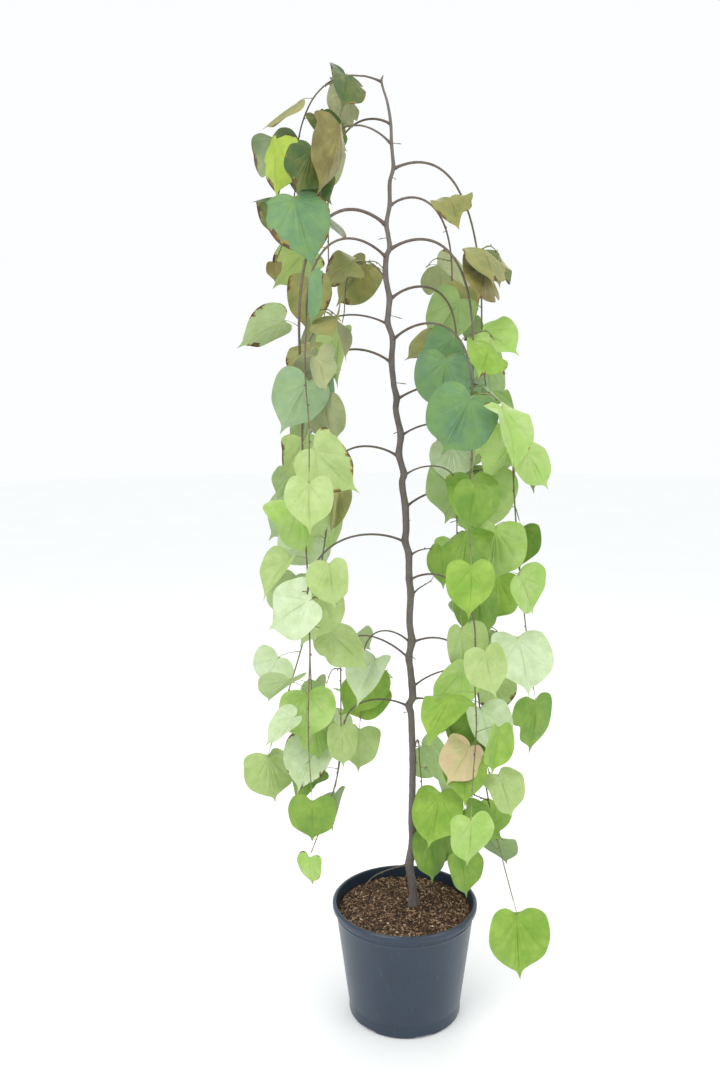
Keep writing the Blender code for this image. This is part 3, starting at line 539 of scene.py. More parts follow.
def place_twig(rng, root, side, facing, size, space):
    """A twig and its two leaves, or nothing if the twig or its end leaf would leave the space."""
    twig = draw_twig(rng, root, side, facing)
    tested = [twig[0].lerp(twig[1], TWIG_TESTED_FROM), *twig[1:]]
    shape = tube_test_shape(tested, [TWIG_RADIUS] * len(tested), STEM_SIDES)
    end_root = twig[2] - (twig[2] - twig[1]).normalized() * ROOT_SUNK
    end_leaf = fits(shape, space) and place_leaf(rng, end_root, side, facing, size, space)
    if not end_leaf:
        return None, []
    space.taken.append(shape)
    side_leaf = place_leaf(rng, twig[1], -side, facing, size, space)
    return twig, [leaf for leaf in (end_leaf, side_leaf) if leaf]


def place_end_leaf(rng, path, limb, space):
    """The leaf that hangs from the shoot's tip, in a space as deep as itself."""
    end, heading = along(path, path_length(path))
    space = space._replace(sleeve=max(space.sleeve, limb.tip * END_LEAF_SPACE), near=())
    for _ in range(LEAF_TRIES):
        turn = leaf_facing(limb) + rng.uniform(-END_LEAF_TURN, END_LEAF_TURN)
        normal = toward(turn, rng.uniform(*END_LEAF_TILTS))
        axis = (-Vector((0, 0, 1)) + normal * normal.z).normalized()
        base = end + heading * limb.tip * END_LEAF_STALK
        leaf = Leaf(end - heading * ROOT_SUNK, base, axis, normal, limb.tip)
        shape = leaf_shape(leaf)
        if fits(shape, space):
            space.taken.append(shape)
            return [leaf]
    return []


def plan_mass(limb, path, shapes, taken):
    """The twigs and leaves of one mass. Every third place along the shoot has a twig with two leaves."""
    rng = random.Random(limb.seed)
    facing = leaf_facing(limb)
    near = [shape for name, shape in shapes.items() if name != "trunk"]
    space = Space(shapes[limb.name].tree, limb.sleeve, near, taken)
    beside = space._replace(near=[shape for shape in near if shape is not shapes[limb.name]])
    twigs = []
    leaves = place_end_leaf(rng, path, limb, space)
    places = int((path_length(path) - LEAF_FIRST - limb.leaf * TIP_LEAF_ALONE) / limb.step)
    for place in range(places):
        root = along(path, LEAF_FIRST + limb.step * (place + rng.uniform(*LEAF_PLACES)))[0]
        side = 1 if place % 2 else -1
        size = limb.leaf * (1 + rng.uniform(-LEAF_SIZE_SPREAD, LEAF_SIZE_SPREAD))
        if rng.random() < LEAF_ABSENT:
            continue
        if place % TWIG_EVERY == 1:
            twig, twig_leaves = place_twig(rng, root, side, facing, size, beside)
            if twig:
                twigs.append(twig)
                leaves += twig_leaves
                continue
        leaf = place_leaf(rng, root, side, facing, size, space)
        if leaf:
            leaves.append(leaf)
    return twigs, leaves


@functools.cache
def planned():
    """Every limb's own path first, and then each mass's twigs and leaves, clear of the limbs."""
    trunk = [centre for _, centre in trunk_rings()]
    radii = [trunk_radius(height) for height, _ in trunk_rings()]
    shapes = {"trunk": tube_test_shape(trunk, radii, TRUNK_SIDES)}
    stems = {limb.name: stem_path(limb) for limb in LIMBS}
    for limb in LIMBS:
        path = stems[limb.name]
        shapes[limb.name] = tube_test_shape(path, stem_radii(limb, path), STEM_SIDES)
        if limb.name not in SHORT_LIMBS:
            path = arch_path(limb, 0, limb.ends, BOUGH_RINGS)
            radii = taper(len(path), limb.radius, limb.radius * SHOOT_SHARE)
            shapes["bough " + limb.name] = tube_test_shape(path, radii, BOUGH_SIDES)
    for twig in BARE_TWIGS:
        path = arch_path(twig, 0, 1, BARE_TWIG_RINGS)
        shapes[twig.name] = tube_test_shape(path, taper(len(path), twig.radius, TIP_RADIUS), STEM_SIDES)
    taken = []
    return stems, {limb.name: plan_mass(limb, stems[limb.name], shapes, taken) for limb in LIMBS}


# Fine surfaces as numpy grids

RIGHT = np.array((1.0, 0.0, 0.0))
UP = np.array((0.0, 0.0, 1.0))
# A side for tubes that may run straight up
ASLANT = UP + 0.1
FULL_TURN = 2 * math.pi
NOISE_LATTICE = 32


def unit(vectors):
    """Vectors along the last axis, each divided by its length."""
    return vectors / np.linalg.norm(vectors, axis=-1, keepdims=True)


def rows(vectors):
    return np.array([tuple(vector) for vector in vectors])


def turns(count):
    """Angles evenly round."""
    return np.linspace(0, FULL_TURN, count, endpoint=False)


def around(radius, turn, height):
    """The points (r cos a, r sin a, z)."""
    return np.stack(np.broadcast_arrays(radius * np.cos(turn), radius * np.sin(turn), height), axis=-1)


def noise(points, cell, seed):
    """Smooth noise from -1 to 1: random values at the corners of cubes of side cell, blended along each
    axis by 3t^2 - 2t^3, where t is the share of the way through the cube."""
    lattice = np.random.default_rng(seed).uniform(-1, 1, (NOISE_LATTICE,) * 3)
    place = points / cell
    corner = np.floor(place).astype(int)
    share = place - corner
    share = share * share * (3 - 2 * share)
    total = np.zeros(place.shape[:-1])
    for step in itertools.product((0, 1), repeat=3):
        weight = np.prod(np.where(step, share, 1 - share), axis=-1)
        x, y, z = np.moveaxis((corner + step) % NOISE_LATTICE, -1, 0)
        total += weight * lattice[x, y, z]
    return total


def layered(points, layers):
    """The sum of noises, each given by its cell, seed and height."""
    return sum(height * noise(points, cell, seed) for cell, seed, height in layers)


def through(knots, at):
    """A smooth curve through knots, where at counts from 0 at the first: the cubic whose slope at each knot
    is half the step from the knot before it to the knot after it."""
    knots = np.asarray(knots, float)
    slopes = np.gradient(knots, axis=0)
    first = np.clip(np.floor(at).astype(int), 0, len(knots) - 2)
    t = (at - first)[:, None]
    start, end = knots[first], knots[first + 1]
    rise, fall = slopes[first], slopes[first + 1]
    straight = (2 * t**3 - 3 * t**2 + 1) * start + (3 * t**2 - 2 * t**3) * end
    return straight + (t**3 - 2 * t**2 + t) * rise + (t**3 - t**2) * fall


def reached(path):
    """Each point's distance along a path."""
    return np.concatenate(([0], np.cumsum(np.linalg.norm(np.diff(path, axis=0), axis=1))))


def at_distance(at, distances, values):
    """Values given at distances along a path, read in between."""
    return np.stack([np.interp(at, distances, column) for column in values.T], axis=-1)


def smooth_path(points, step):
    """A path's points a step apart on the smooth curve through them."""
    points = rows(points)
    distances = reached(points)
    count = max(4, round(distances[-1] / step))
    at = np.interp(np.linspace(0, distances[-1], count + 1), distances, np.arange(len(points)))
    return through(points, at)


def tubes(paths, radii, sides_at, sides):
    """Corners of tubes round paths (tube, ring, 3): P + r (cos a S + sin a U), where S is the given side
    made square to the path, U = T x S, T is the path's direction and a runs round the tube."""
    ahead = unit(np.gradient(paths, axis=1))
    across = np.broadcast_to(sides_at, paths.shape)
    across = unit(across - ahead * np.sum(across * ahead, axis=-1, keepdims=True))
    up = np.cross(ahead, across)
    turn = turns(sides)[:, None]
    round_it = np.cos(turn) * across[:, :, None] + np.sin(turn) * up[:, :, None]
    return paths[:, :, None] + round_it * radii[:, :, None, None]


def tube_skin(corners):
    """Corner list and faces of tubes (tube, ring, side, 3): four-cornered walls, and one face on each end."""
    count, rings, sides, _ = corners.shape
    number = np.arange(count * rings * sides).reshape(count, rings, sides)
    beside = np.roll(number, -1, axis=2)
    walls = np.stack((number[:, :-1], beside[:, :-1], beside[:, 1:], number[:, 1:]), axis=-1)
    return corners.reshape(-1, 3), [walls.reshape(-1, 4), number[:, 0, ::-1], number[:, -1]]


def turned_skin(corners):
    """The same for a profile that runs the other way, with its faces turned round to point outwards."""
    corners, faces = tube_skin(corners[None])
    return corners, [group[:, ::-1] for group in faces]


class Skin:
    """The corners, faces, slots and ages of one joined piece, gathered part by part."""

    def __init__(self):
        self.corners, self.loops, self.sizes, self.slots, self.ages = [], [], [], [], []
        self.count = 0

    def add(self, corners, faces, slot=0, age=0.0):
        for group in faces:
            self.loops.append((group + self.count).ravel())
            self.sizes.append(np.full(len(group), group.shape[1]))
        self.slots.append(np.broadcast_to(slot, sum(len(group) for group in faces)))
        self.ages.append(np.broadcast_to(age, len(corners)))
        self.corners.append(corners)
        self.count += len(corners)
        return self

    def piece(self, name, materials, slot, nodes, sharp=50):
        """The joined piece, riding on the root and standing for its nodes."""
        mesh = bpy.data.meshes.new(name)
        loops = np.concatenate(self.loops)
        sizes = np.concatenate(self.sizes)
        mesh.vertices.add(self.count)
        mesh.vertices.foreach_set("co", np.concatenate(self.corners).astype(np.float32).ravel())
        mesh.loops.add(len(loops))
        mesh.loops.foreach_set("vertex_index", loops.astype(np.int32))
        mesh.polygons.add(len(sizes))
        mesh.polygons.foreach_set("loop_start", (np.cumsum(sizes) - sizes).astype(np.int32))
        for material in materials:
            mesh.materials.append(material)
        mesh.polygons.foreach_set("material_index", np.concatenate(self.slots).astype(np.int32))
        age = mesh.attributes.new("age", "FLOAT", "POINT")
        age.data.foreach_set("value", np.concatenate(self.ages).astype(np.float32))
        mesh.update(calc_edges=True)
        if mesh.validate():
            raise RuntimeError(name + " had faces that are not valid")
        mesh.shade_smooth()
        mesh.set_sharp_from_angle(angle=math.radians(sharp))
        obj = bpy.data.objects.new(name, mesh)
        bpy.context.scene.collection.objects.link(obj)
        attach(obj, "root")
        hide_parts(*nodes)


def foliage_nodes(limbs=LIMBS):
    return ["foliage_" + limb.name for limb in limbs]


# Trunk, boughs and twigs

TRUNK_SUNK = 0.004
TRUNK_FINE_SIDES = 28
TRUNK_TIP_ROUND = 0.006
COLLAR_REACH = 0.012
COLLAR_SWELL = 0.22
COLLAR_ROUND_SHARE = 0.3
BOUGH_FINE_SIDES = 12
BOUGH_FINE_STEP = 0.003
BOUGH_FLARE = 0.45
BOUGH_FLARE_REACH = 0.008
BARE_TWIG_FLARE = 0.6
BARE_TWIG_FINE_RINGS = 24
LIMB_SUNK = 0.6
SHOOT_FINE_SIDES = 8
SHOOT_STEP = 0.007
TWIG_STEP = 0.006
# How far the bark stands proud, as a share of the radius, and how its cells are drawn out on the trunk
BARK_RELIEF = 0.045
BARK_STRETCH = (1, 1, 0.35)
TRUNK_BARK = ((0.0045, 3, 1.0), (0.0022, 4, 0.6))
LIMB_BARK = ((0.0035, 5, 1.0), (0.0016, 6, 0.5))
# Swollen joints along boughs and shoots: their height, the cosine that they start from, and their spacing
BOUGH_JOINTS = (0.10, 0.6, 0.045, 0.06)
SHOOT_JOINTS = (0.14, 0.5, 0.042, 0.07)
# Distances out of the path and radii of a bud, and radii along a spur
BUD_STEPS = np.array((0.0, 0.0012, 0.0026, 0.0040, 0.0050))
BUD_RADII = np.array((0.0008, 0.0013, 0.0014, 0.0009, 0.0002))
SPUR_RADII = np.array((0.0011, 0.0009, 0.0008, 0.0008, 0.0010, 0.0011, 0.0003))
SPRIG_SIDES = 6
# Spacings of buds and of spurs, and the longest spur
BARE_TWIG_BUDS, SHOOT_BUDS, TWIG_BUDS = 0.016, 0.042, 0.020
TRUNK_SPURS, SHOOT_SPURS = (0.150, 0.030), (0.130, 0.024)
# Ages, from 0 for old bark to 1 for a green tip. The trunk's rises from a height over a length
BUD_AGE, BARE_TWIG_AGE, BOUGH_END_AGE, SPUR_AGE, TWIG_AGE = 0.1, 0.15, 0.25, 0.3, 0.6
TRUNK_YOUNG_FROM, TRUNK_YOUNG_OVER, TRUNK_YOUNG = 1.9, 0.6, 0.35
OLDEST_SHOOT, UPPER_GREEN, LOWER_GREEN, GREENING = 0.10, 0.45, 0.85, 1.3


def limb_heading(limb, turned=0):
    return np.array(toward(limb.azimuth + turned))


def make_trunk_skin(step):
    """The trunk: rings a step apart round its centre line, with radius r(z) (1 + flare + swell at each limb
    + bark relief). The swell is a bell round the limb's height, on the limb's side."""
    count = round((TRUNK_TIP - TRUNK_FOOT + TRUNK_SUNK) / step)
    heights = np.linspace(TRUNK_FOOT - TRUNK_SUNK, TRUNK_TIP, count + 1)
    levels, centres = zip(*trunk_rings())
    path = through(rows(centres), np.interp(heights, levels, np.arange(len(levels))))
    path[:, 2] = heights
    radius = np.array([trunk_radius(height) for height in heights])[:, None]
    turn = turns(TRUNK_FINE_SIDES)[None, :]
    level = heights[:, None]
    flare = np.clip(1 - (level - TRUNK_FOOT) / FLARE_HEIGHT, 0, 1)
    share = 1 + FLARE_DEPTH * flare * np.cos(FLARE_LOBES * turn)
    for limb in LIMBS + BARE_TWIGS:
        near = np.exp(-(((level - limb.height) / COLLAR_REACH) ** 2))
        facing = np.clip(np.cos(turn - math.radians(limb.azimuth)), 0, 1) ** 2
        share = share + COLLAR_SWELL * near * (COLLAR_ROUND_SHARE + (1 - COLLAR_ROUND_SHARE) * facing)
    stretched = (path[:, None] + around(radius, turn, 0)) * BARK_STRETCH
    share = share + BARK_RELIEF * layered(stretched, TRUNK_BARK)
    tip = np.clip((TRUNK_TIP - level) / TRUNK_TIP_ROUND, 0.15, 1) ** 0.5
    corners = path[:, None] + around(1, turn, 0) * (radius * share * tip)[..., None]
    young = np.clip((heights - TRUNK_YOUNG_FROM) / TRUNK_YOUNG_OVER, 0, 1) * TRUNK_YOUNG
    skin = Skin().add(*tube_skin(corners[None]), age=np.repeat(young, TRUNK_FINE_SIDES))
    add_spurs(skin, path, RIGHT, TRUNK_TIP, *TRUNK_SPURS)
    return skin


def arch(limb, last, rings):
    """The limb's arch from its root to a share of it as an array, with a point inside the trunk before it:
    root + A reach out(s) + Z up(s), where A points along its azimuth."""
    out, up = arch_run(limb, np.linspace(0, last, rings)[:, None])
    return rooted(limb, np.array(limb_root(limb)) + limb_heading(limb) * limb.reach * out + UP * up)


def rooted(limb, path):
    inside = path[0] - limb_heading(limb) * trunk_radius(limb.height) * LIMB_SUNK
    return np.concatenate((inside[None], path))


def jointed(distance, height, least, spacing, level):
    """The swelling at joints a spacing apart: 1 + height max(cos, least) - level."""
    return 1 + height * np.clip(np.cos(distance * FULL_TURN / spacing), least, 1) - level


def limb_tube(limb, path, radii, sides):
    """A tube with bark relief, its rings turned to the limb's own side."""
    corners = tubes(path[None], radii[None], limb_heading(limb, 90), sides)
    relief = layered(corners, LIMB_BARK)[..., None]
    return tube_skin(path[:, None] + (corners - path[:, None]) * (1 + BARK_RELIEF * relief))


def make_bough_skin():
    """Each bough starts inside the trunk's collar, where its radius is r (1 + flare exp(-d / reach))."""
    skin = Skin()
    for limb in LIMBS + BARE_TWIGS:
        if limb.name in SHORT_LIMBS:
            continue
        bare = limb in BARE_TWIGS
        rings = BARE_TWIG_FINE_RINGS if bare else round(limb.ends * limb.reach / BOUGH_FINE_STEP) + 8
        path = arch(limb, 1 if bare else limb.ends, rings)
        far = np.linalg.norm(path - path[1], axis=1)
        last = 0.5 * TIP_RADIUS if bare else limb.radius * SHOOT_SHARE
        radii = np.linspace(limb.radius, last, len(path))
        radii = radii * (1 + (BARE_TWIG_FLARE if bare else BOUGH_FLARE) * np.exp(-far / BOUGH_FLARE_REACH))
        if bare:
            skin.add(*limb_tube(limb, path, radii, SHOOT_FINE_SIDES), age=BARE_TWIG_AGE)
            side = limb_heading(limb, 90)
            add_buds(skin, path[3:], limb.radius * 0.8, side, limb.height, BARE_TWIG_BUDS)
        else:
            age = np.repeat(np.linspace(0, BOUGH_END_AGE, len(path)), BOUGH_FINE_SIDES)
            skin.add(*limb_tube(limb, path, radii * jointed(far, *BOUGH_JOINTS), BOUGH_FINE_SIDES), age=age)
    return skin


def dealt_along(path, spacing, salt, spread):
    """Places a spacing apart along a path, each moved by its own share: their random numbers, distances along
    it, the path's own distances and their points, or none on a short path."""
    rng = np.random.default_rng(salt)
    distances = reached(path)
    count = int(distances[-1] / spacing)
    if count < 1:
        return None
    reach = (np.arange(count) + rng.uniform(*spread, count)) * spacing
    return rng, reach, distances, at_distance(reach, distances, path)


def add_buds(skin, path, radius, side, salt, spacing):
    """Buds that lean forward out of a path, left and right by turns, a spacing apart."""
    dealt = dealt_along(path, spacing, round(salt * 1000), (0.3, 0.7))
    if dealt:
        rng, reach, distances, root = dealt
        count = len(root)
        ahead = unit(at_distance(reach, distances, unit(np.gradient(path, axis=0))))
        out = side * np.where(np.arange(count) % 2, 1, -1)[:, None] + rng.normal(0, 0.35, (count, 3))
        heading = unit(0.75 * unit(out) + 0.65 * ahead)
        size = rng.uniform(0.75, 1.25, (count, 1))
        paths = root[:, None] + heading[:, None] * (radius * 0.4 + BUD_STEPS[:, None]) * size[:, None]
        skin.add(*tube_skin(tubes(paths, BUD_RADII * size, ahead[:, None], SPRIG_SIDES)), age=BUD_AGE)


def add_spurs(skin, path, side, salt, spacing, longest):
    """Short spurs that leave a shoot: a bent line of up to the longest, thinning to a bud at its tip."""
    dealt = dealt_along(path, spacing, round(salt * 1000) + 7, (0.1, 0.9))
    if dealt:
        rng, _, _, root = dealt
        count = len(root)
        out = side * rng.choice((-1, 1), (count, 1)) + rng.normal(0, 0.6, (count, 3))
        heading = unit(out * (1, 1, 0.2))
        size = rng.uniform(0.25, 1, (count, 1, 1)) * longest
        steps = np.linspace(0, 1, len(SPUR_RADII))[None, :, None]
        bend = rng.normal(0, 0.25, (count, 1, 3)) * steps**2 - UP * 0.30 * steps**2
        paths = root[:, None] + (heading[:, None] * steps + bend) * size
        radii = SPUR_RADII * np.ones((count, 1))
        skin.add(*tube_skin(tubes(paths, radii, ASLANT, SPRIG_SIDES)), age=SPUR_AGE)


def shoot_path(limb):
    return smooth_path(planned()[0][limb.name], SHOOT_STEP)


def make_shoot_skin():
    """The hanging shoots, their side twigs, buds and spurs. A shoot is greener the farther it hangs. A twig
    is drawn to its shoot by the square of what is left of its length."""
    masses = planned()[1]
    skin = Skin()
    for limb in LIMBS:
        path = shoot_path(limb)
        if limb.name in SHORT_LIMBS:
            path = rooted(limb, path)
        far = np.linspace(0, 1, len(path))
        length = far * path_length([Vector(point) for point in path])
        radii = np.array(stem_radii(limb, path)) * jointed(length, *SHOOT_JOINTS)
        young = OLDEST_SHOOT + (UPPER_GREEN if limb.height > UPPER_LEAVES else LOWER_GREEN) * far**GREENING
        skin.add(*limb_tube(limb, path, radii, SHOOT_FINE_SIDES), age=np.repeat(young, SHOOT_FINE_SIDES))
        side = limb_heading(limb, 90)
        add_buds(skin, path[2:], limb.radius * 0.5, side, limb.height, SHOOT_BUDS)
        add_spurs(skin, path[2:], side, limb.height, *SHOOT_SPURS)
        for twig in masses[limb.name][0]:
            points = smooth_path(twig, TWIG_STEP)
            start = path[np.argmin(np.linalg.norm(path - points[0], axis=1))]
            points = points + (start - points[0]) * np.linspace(1, 0, len(points))[:, None] ** 2
            radii = np.linspace(TWIG_RADIUS, TIP_RADIUS * 0.7, len(points))
            corners = tubes(points[None], radii[None], ASLANT, SHOOT_FINE_SIDES)
            skin.add(*tube_skin(corners), age=TWIG_AGE)
            add_buds(skin, points[1:], TWIG_RADIUS * 0.7, UP, float(points[0, 2]), TWIG_BUDS)
    return skin


# Leaves

LEAF_POLE = 0.045
# Half of the rim from notch to tip, of a heart and of a rounder leaf
HEART = (
    (0, 0), (0.21, -0.12), (0.44, -0.05), (0.52, 0.24), (0.42, 0.57), (0.18, 0.82), (0.055, 0.95), (0, 1.11)
)
ROUNDER = (
    (0, 0), (0.22, -0.09), (0.46, 0.01), (0.535, 0.34), (0.46, 0.67), (0.21, 0.87), (0.058, 0.97), (0, 1.11)
)
# Rays meet the rim this far apart, counted in its corners, and in pairs where there is a vein
RAY_STEP = 0.16
VEIN_TURNS = (2, 3, 4)
LEAF_RINGS = (0.28, 0.54, 0.74, 0.86, 0.93, 0.97, 1.0)
BLADE_HALF = 0.0045
FOLD_SOFT = 0.03
NOTCH_TURNS = 1.6

# Each leaf's own values are drawn from these ranges: its length and breadth, each side's breadth, and how
# far the rim waves with how many waves
BLADE_SPREAD = (0.95, 1.04)
SIDE_SPREAD = (0.94, 1.04)
PHASES = (0, 6.3)
RIM_WAVES = ((0.03, 4), (0.015, 7))
# Bites out of the rim: how wide and deep, how far round from the tip, and how many leaves have them, high
# up besides and everywhere. Then how far the tip falls short, and how wide that is
BITE_WIDTHS = (0.20, 0.13, 0.08)
BITE_DEPTHS = (0.06, 0.24)
BITE_TURNS = (-2.6, 2.6)
BITTEN_HIGH, BITTEN = 0.45, 0.04
TIP_SHORT = (0.0, 0.09)
TIP_WIDTH = 0.30
# Up to each share of the leaves, how they fold, and the rest. Then how many turn their lobes back like a
# cape, how far, and above where
FOLDED_BACK, HALF_OPEN = (0.28, (-0.32, -0.08)), (0.70, (0.04, 0.28))
FOLDED = (0.30, 0.60)
CAPED, CAPES, CAPE_END, CAPE_LENGTH = 0.65, (0, 0.95), 0.20, 0.3
CURLS = (0.02, 0.22)
RIPPLES, RIPPLE_HEIGHTS = (3, 6), (0.008, 0.030)
PUFF = 0.012
TWISTS = (-0.16, 0.16)
BENDS = (-0.07, 0.07)

# Plain leaf colours, each with the one that it passes into in soft patches. The light, pale and whitish tints
# are partly the leaves' own colour and partly painted light shining through them
TINTS = {
    "deep": ((0.060, 0.125, 0.030), (0.165, 0.190, 0.050)),
    "blue_green": ((0.130, 0.265, 0.128), (0.175, 0.320, 0.100)),
    "olive": ((0.240, 0.262, 0.080), (0.345, 0.325, 0.100)),
    "brown": ((0.195, 0.165, 0.050), (0.300, 0.265, 0.085)),
    "green": ((0.150, 0.295, 0.035), (0.235, 0.380, 0.055)),
    "bright": ((0.225, 0.405, 0.045), (0.320, 0.495, 0.075)),
    "light": ((0.350, 0.560, 0.120), (0.440, 0.600, 0.200)),
    "pale": ((0.460, 0.590, 0.235), (0.390, 0.530, 0.170)),
    "whitish": ((0.620, 0.740, 0.480), (0.530, 0.660, 0.360)),
    "yellow_green": ((0.400, 0.540, 0.055), (0.340, 0.470, 0.060)),
    "yellow": ((0.480, 0.400, 0.045), (0.330, 0.260, 0.045)),
    "blush": ((0.760, 0.530, 0.350), (0.660, 0.600, 0.300)),
}
SCORCH = (0.095, 0.062, 0.036)
SINGED = (0.300, 0.245, 0.060)
BACK_TINT, BACK_SHARE = (0.50, 0.60, 0.40), 0.38
VEIN_TINT, VEIN_SHARE = (0.50, 0.60, 0.28), 0.22
# Veins are darker by this on leaves paler than this, the sum of their colour's parts
VEIN_SHADE, VEIN_SHADED_ABOVE = 0.78, 0.62
# The paler tints dealt to the lower leaves are partly painted light shining through them
# What is dealt to the leaves above a height, to the left and to the right of the trunk
TINT_BANDS = (
    (1.93, "deep deep olive brown deep yellow_green blue_green", "olive olive brown blue_green"),
    (
        1.68,
        "olive olive blue_green blue_green yellow_green deep",
        "olive olive light bright brown olive pale",
    ),
    (1.40, "brown olive blue_green pale blue_green", "blue_green light light whitish green bright pale"),
    (1.10, "pale light light whitish green pale", "green green bright light pale light whitish"),
    (0.75, "pale light whitish pale whitish bright", "light bright green light pale whitish"),
    (0.48, "pale light green pale whitish whitish", "bright green light pale whitish pale green"),
    (0.00, "green pale light green", "green green bright green green"),
)
TINTED_FROM = 0.4
# Leaves with a tint of their own, as limb and number on it
ODD_LEAVES = {
    "deep": "left_1.1 left_1.4 left_2.2",
    "brown": "left_1.0 left_1.2 left_2.1",
    "olive": "left_2.0 right_1.1 right_1.3",
    "blue_green": "left_2.3 left_3.2 front_2.2",
    "bright": "right_1.5 right_2.1 right_10.0",
    "light": "right_1.7 right_5.1 right_5.2",
    "yellow_green": "left_1.5 back_1.3",
    "yellow": "left_6.1 right_3.1",
    "blush": "right_10.4",
}
# The share of leaves with dry or singed edges above each height
DRY_ABOVE = 1.72
BURNT_SHARES = ((DRY_ABOVE, 0.80), (1.40, 0.30), (0.0, 0.04))
# Waves round the rim, as how many and how high, that make those edges patchy
SCORCH_WAVES = ((2, 1.0), (5, 0.9), (13, 0.35), (29, 0.25))
# For the blade's outer strips, how patchy it must be there to be singed and to be dry
SCORCH_STRIPS = ((-1, 0.45, 0.85), (-2, 0.85, 1.25), (-3, 1.25, 1.75))
STALK_RADII = np.array((0.0015, 0.0011, 0.0008, 0.0007, 0.0007, 0.0007, 0.0008, 0.0011, 0.0010))
STALK_LEAF = 0.11
# How far a stalk's two middle control points stand from its ends, and how far they are lifted, as shares
STALK_PULL, STALK_ARCH = 0.30, 0.10
STALK_TWIG_STEP = 0.004


def ray_turns():
    """Where the rays meet half of the rim: even steps, with each vein's ray twice."""
    tip = len(HEART) - 1
    return np.sort(np.concatenate((np.arange(2 * RAY_STEP, tip + 0.5 * RAY_STEP, RAY_STEP), VEIN_TURNS)))


def mirrored(half):
    """A half outline at the rays' turns, and then again on the other side from tip to notch."""
    half = through(half, ray_turns())
    return np.concatenate(([(0.0, 0.0)], half, half[::-1] * (-1, 1)))


def blade_grid():
    """The blade's rays and rings: the side to which a vein's ray is set off, how far the blade puffs up
    there, and whether the strip to the next ray is a vein."""
    half = ray_turns()
    same = np.isclose(half[1:], half[:-1])
    offset = np.zeros(len(half))
    offset[:-1][same] = -1
    offset[1:][same] = 1
    offset[-1] = -1
    puff = np.where(half < NOTCH_TURNS, 0.5, np.abs(np.sin(math.pi * half)))
    veins = np.concatenate(([False], same, [True], same[::-1], [False]))
    return np.concatenate(([0], offset, -offset[::-1])), np.concatenate(([0], puff, puff[::-1])), veins


def leaf_frames(leaves):
    """The leaves' bases, axes, normals and sizes as arrays."""
    _, base, axis, normal, size = zip(*leaves)
    return rows(base), rows(axis), rows(normal), np.array(size)


def blades(leaves, vein_width, seed):
    """Corners of all blades (leaf, skin, ray, ring, 3) and their poles (leaf, skin, 3). In leaf units a
    point lies at pole + v (rim - pole), set off beside the veins and bent aside by b d^2. It is lifted by
    fold (sqrt(a^2 + s^2) - s), with the lobes turned back by cape (end - d) a, less curl d^2, and by puff
    sin(pi v) + wave v^2 sin(n turn + phase) + twist a d. Each leaf has its own values."""
    rng = np.random.default_rng(seed)
    base, axis, normal, size = leaf_frames(leaves)
    count = len(leaves)
    heart, rounder = mirrored(HEART), mirrored(ROUNDER)
    offset, puff, _ = blade_grid()

    def each(span, axes=1):
        return rng.uniform(*span, (count,) + (1,) * axes)

    def some():
        return rng.random((count, 1, 1))

    rim = heart + each((0, 1), 2) * (rounder - heart)
    turn = np.arctan2(heart[:, 0], heart[:, 1] - LEAF_POLE)

    def waved(side, wave, waves):
        return rim[..., side] * each(BLADE_SPREAD) * (1 + wave * np.sin(waves * turn + each(PHASES)))

    across = waved(0, *RIM_WAVES[0])
    across = across * np.where(heart[:, 0] > 0, each(SIDE_SPREAD), each(SIDE_SPREAD))
    down = waved(1, *RIM_WAVES[1])
    reach = np.ones((count, len(heart)))
    for width in BITE_WIDTHS:
        bitten = rng.random((count, 1)) < BITTEN_HIGH * (base[:, 2:] > DRY_ABOVE) + BITTEN
        reach = reach - bitten * each(BITE_DEPTHS) * np.exp(-(((turn - each(BITE_TURNS)) / width) ** 2))
    reach = reach - each(TIP_SHORT) * np.exp(-((turn / TIP_WIDTH) ** 2))
    across = across * reach
    down = LEAF_POLE + (down - LEAF_POLE) * reach
    v = np.array(LEAF_RINGS)
    a = across[:, :, None] * v
    d = LEAF_POLE + (down[:, :, None] - LEAF_POLE) * v
    beside = np.stack((heart[:, 1] - LEAF_POLE, -heart[:, 0]), axis=-1)
    beside = beside / np.maximum(np.linalg.norm(beside, axis=-1, keepdims=True), 1e-6)
    width = vein_width * (1.05 - v)
    a = a - offset[:, None] * beside[:, :1] * width
    d = d - offset[:, None] * beside[:, 1:] * width
    kind = some()
    fold = np.where(kind < HALF_OPEN[0], each(HALF_OPEN[1], 2), each(FOLDED, 2))
    fold = np.where(kind < FOLDED_BACK[0], each(FOLDED_BACK[1], 2), fold)
    cape = each(CAPES, 2) * (some() < CAPED)
    off_rib = np.sqrt(a * a + FOLD_SOFT**2) - FOLD_SOFT
    turned_back = cape * np.clip(CAPE_END - d, 0, 1) * off_rib / CAPE_LENGTH
    lift = fold * off_rib - turned_back - each(CURLS, 2) * d * d
    ripples = rng.integers(*RIPPLES, (count, 1, 1))
    lift = lift + each(RIPPLE_HEIGHTS, 2) * v**2 * np.sin(ripples * turn[:, None] + each(PHASES, 2))
    lift = lift + PUFF * puff[:, None] * np.sin(math.pi * v) + each(TWISTS, 2) * a * d
    a = a / np.sqrt(1 + fold**2) + each(BENDS, 2) * d * d
    side = np.cross(axis, normal)

    def placed(*local):
        """Two skins, half the blade's thickness above and below a point of each leaf's own frame."""
        shape = (count,) + (1,) * (local[0].ndim - 1) + (3,)
        scale = size.reshape(shape[:-1] + (1,))
        a, d, lift, half = (part[..., None] for part in local)
        level = side.reshape(shape) * a + axis.reshape(shape) * d
        raised = [
            base.reshape(shape) + (level + normal.reshape(shape) * at) * scale
            for at in (lift + half, lift - half)
        ]
        return np.stack(raised, axis=1)

    middle = np.zeros(count)
    return (
        placed(a, d, lift, BLADE_HALF * (1.15 - v)),
        placed(middle, middle + LEAF_POLE, middle, middle + BLADE_HALF * 1.15),
    )


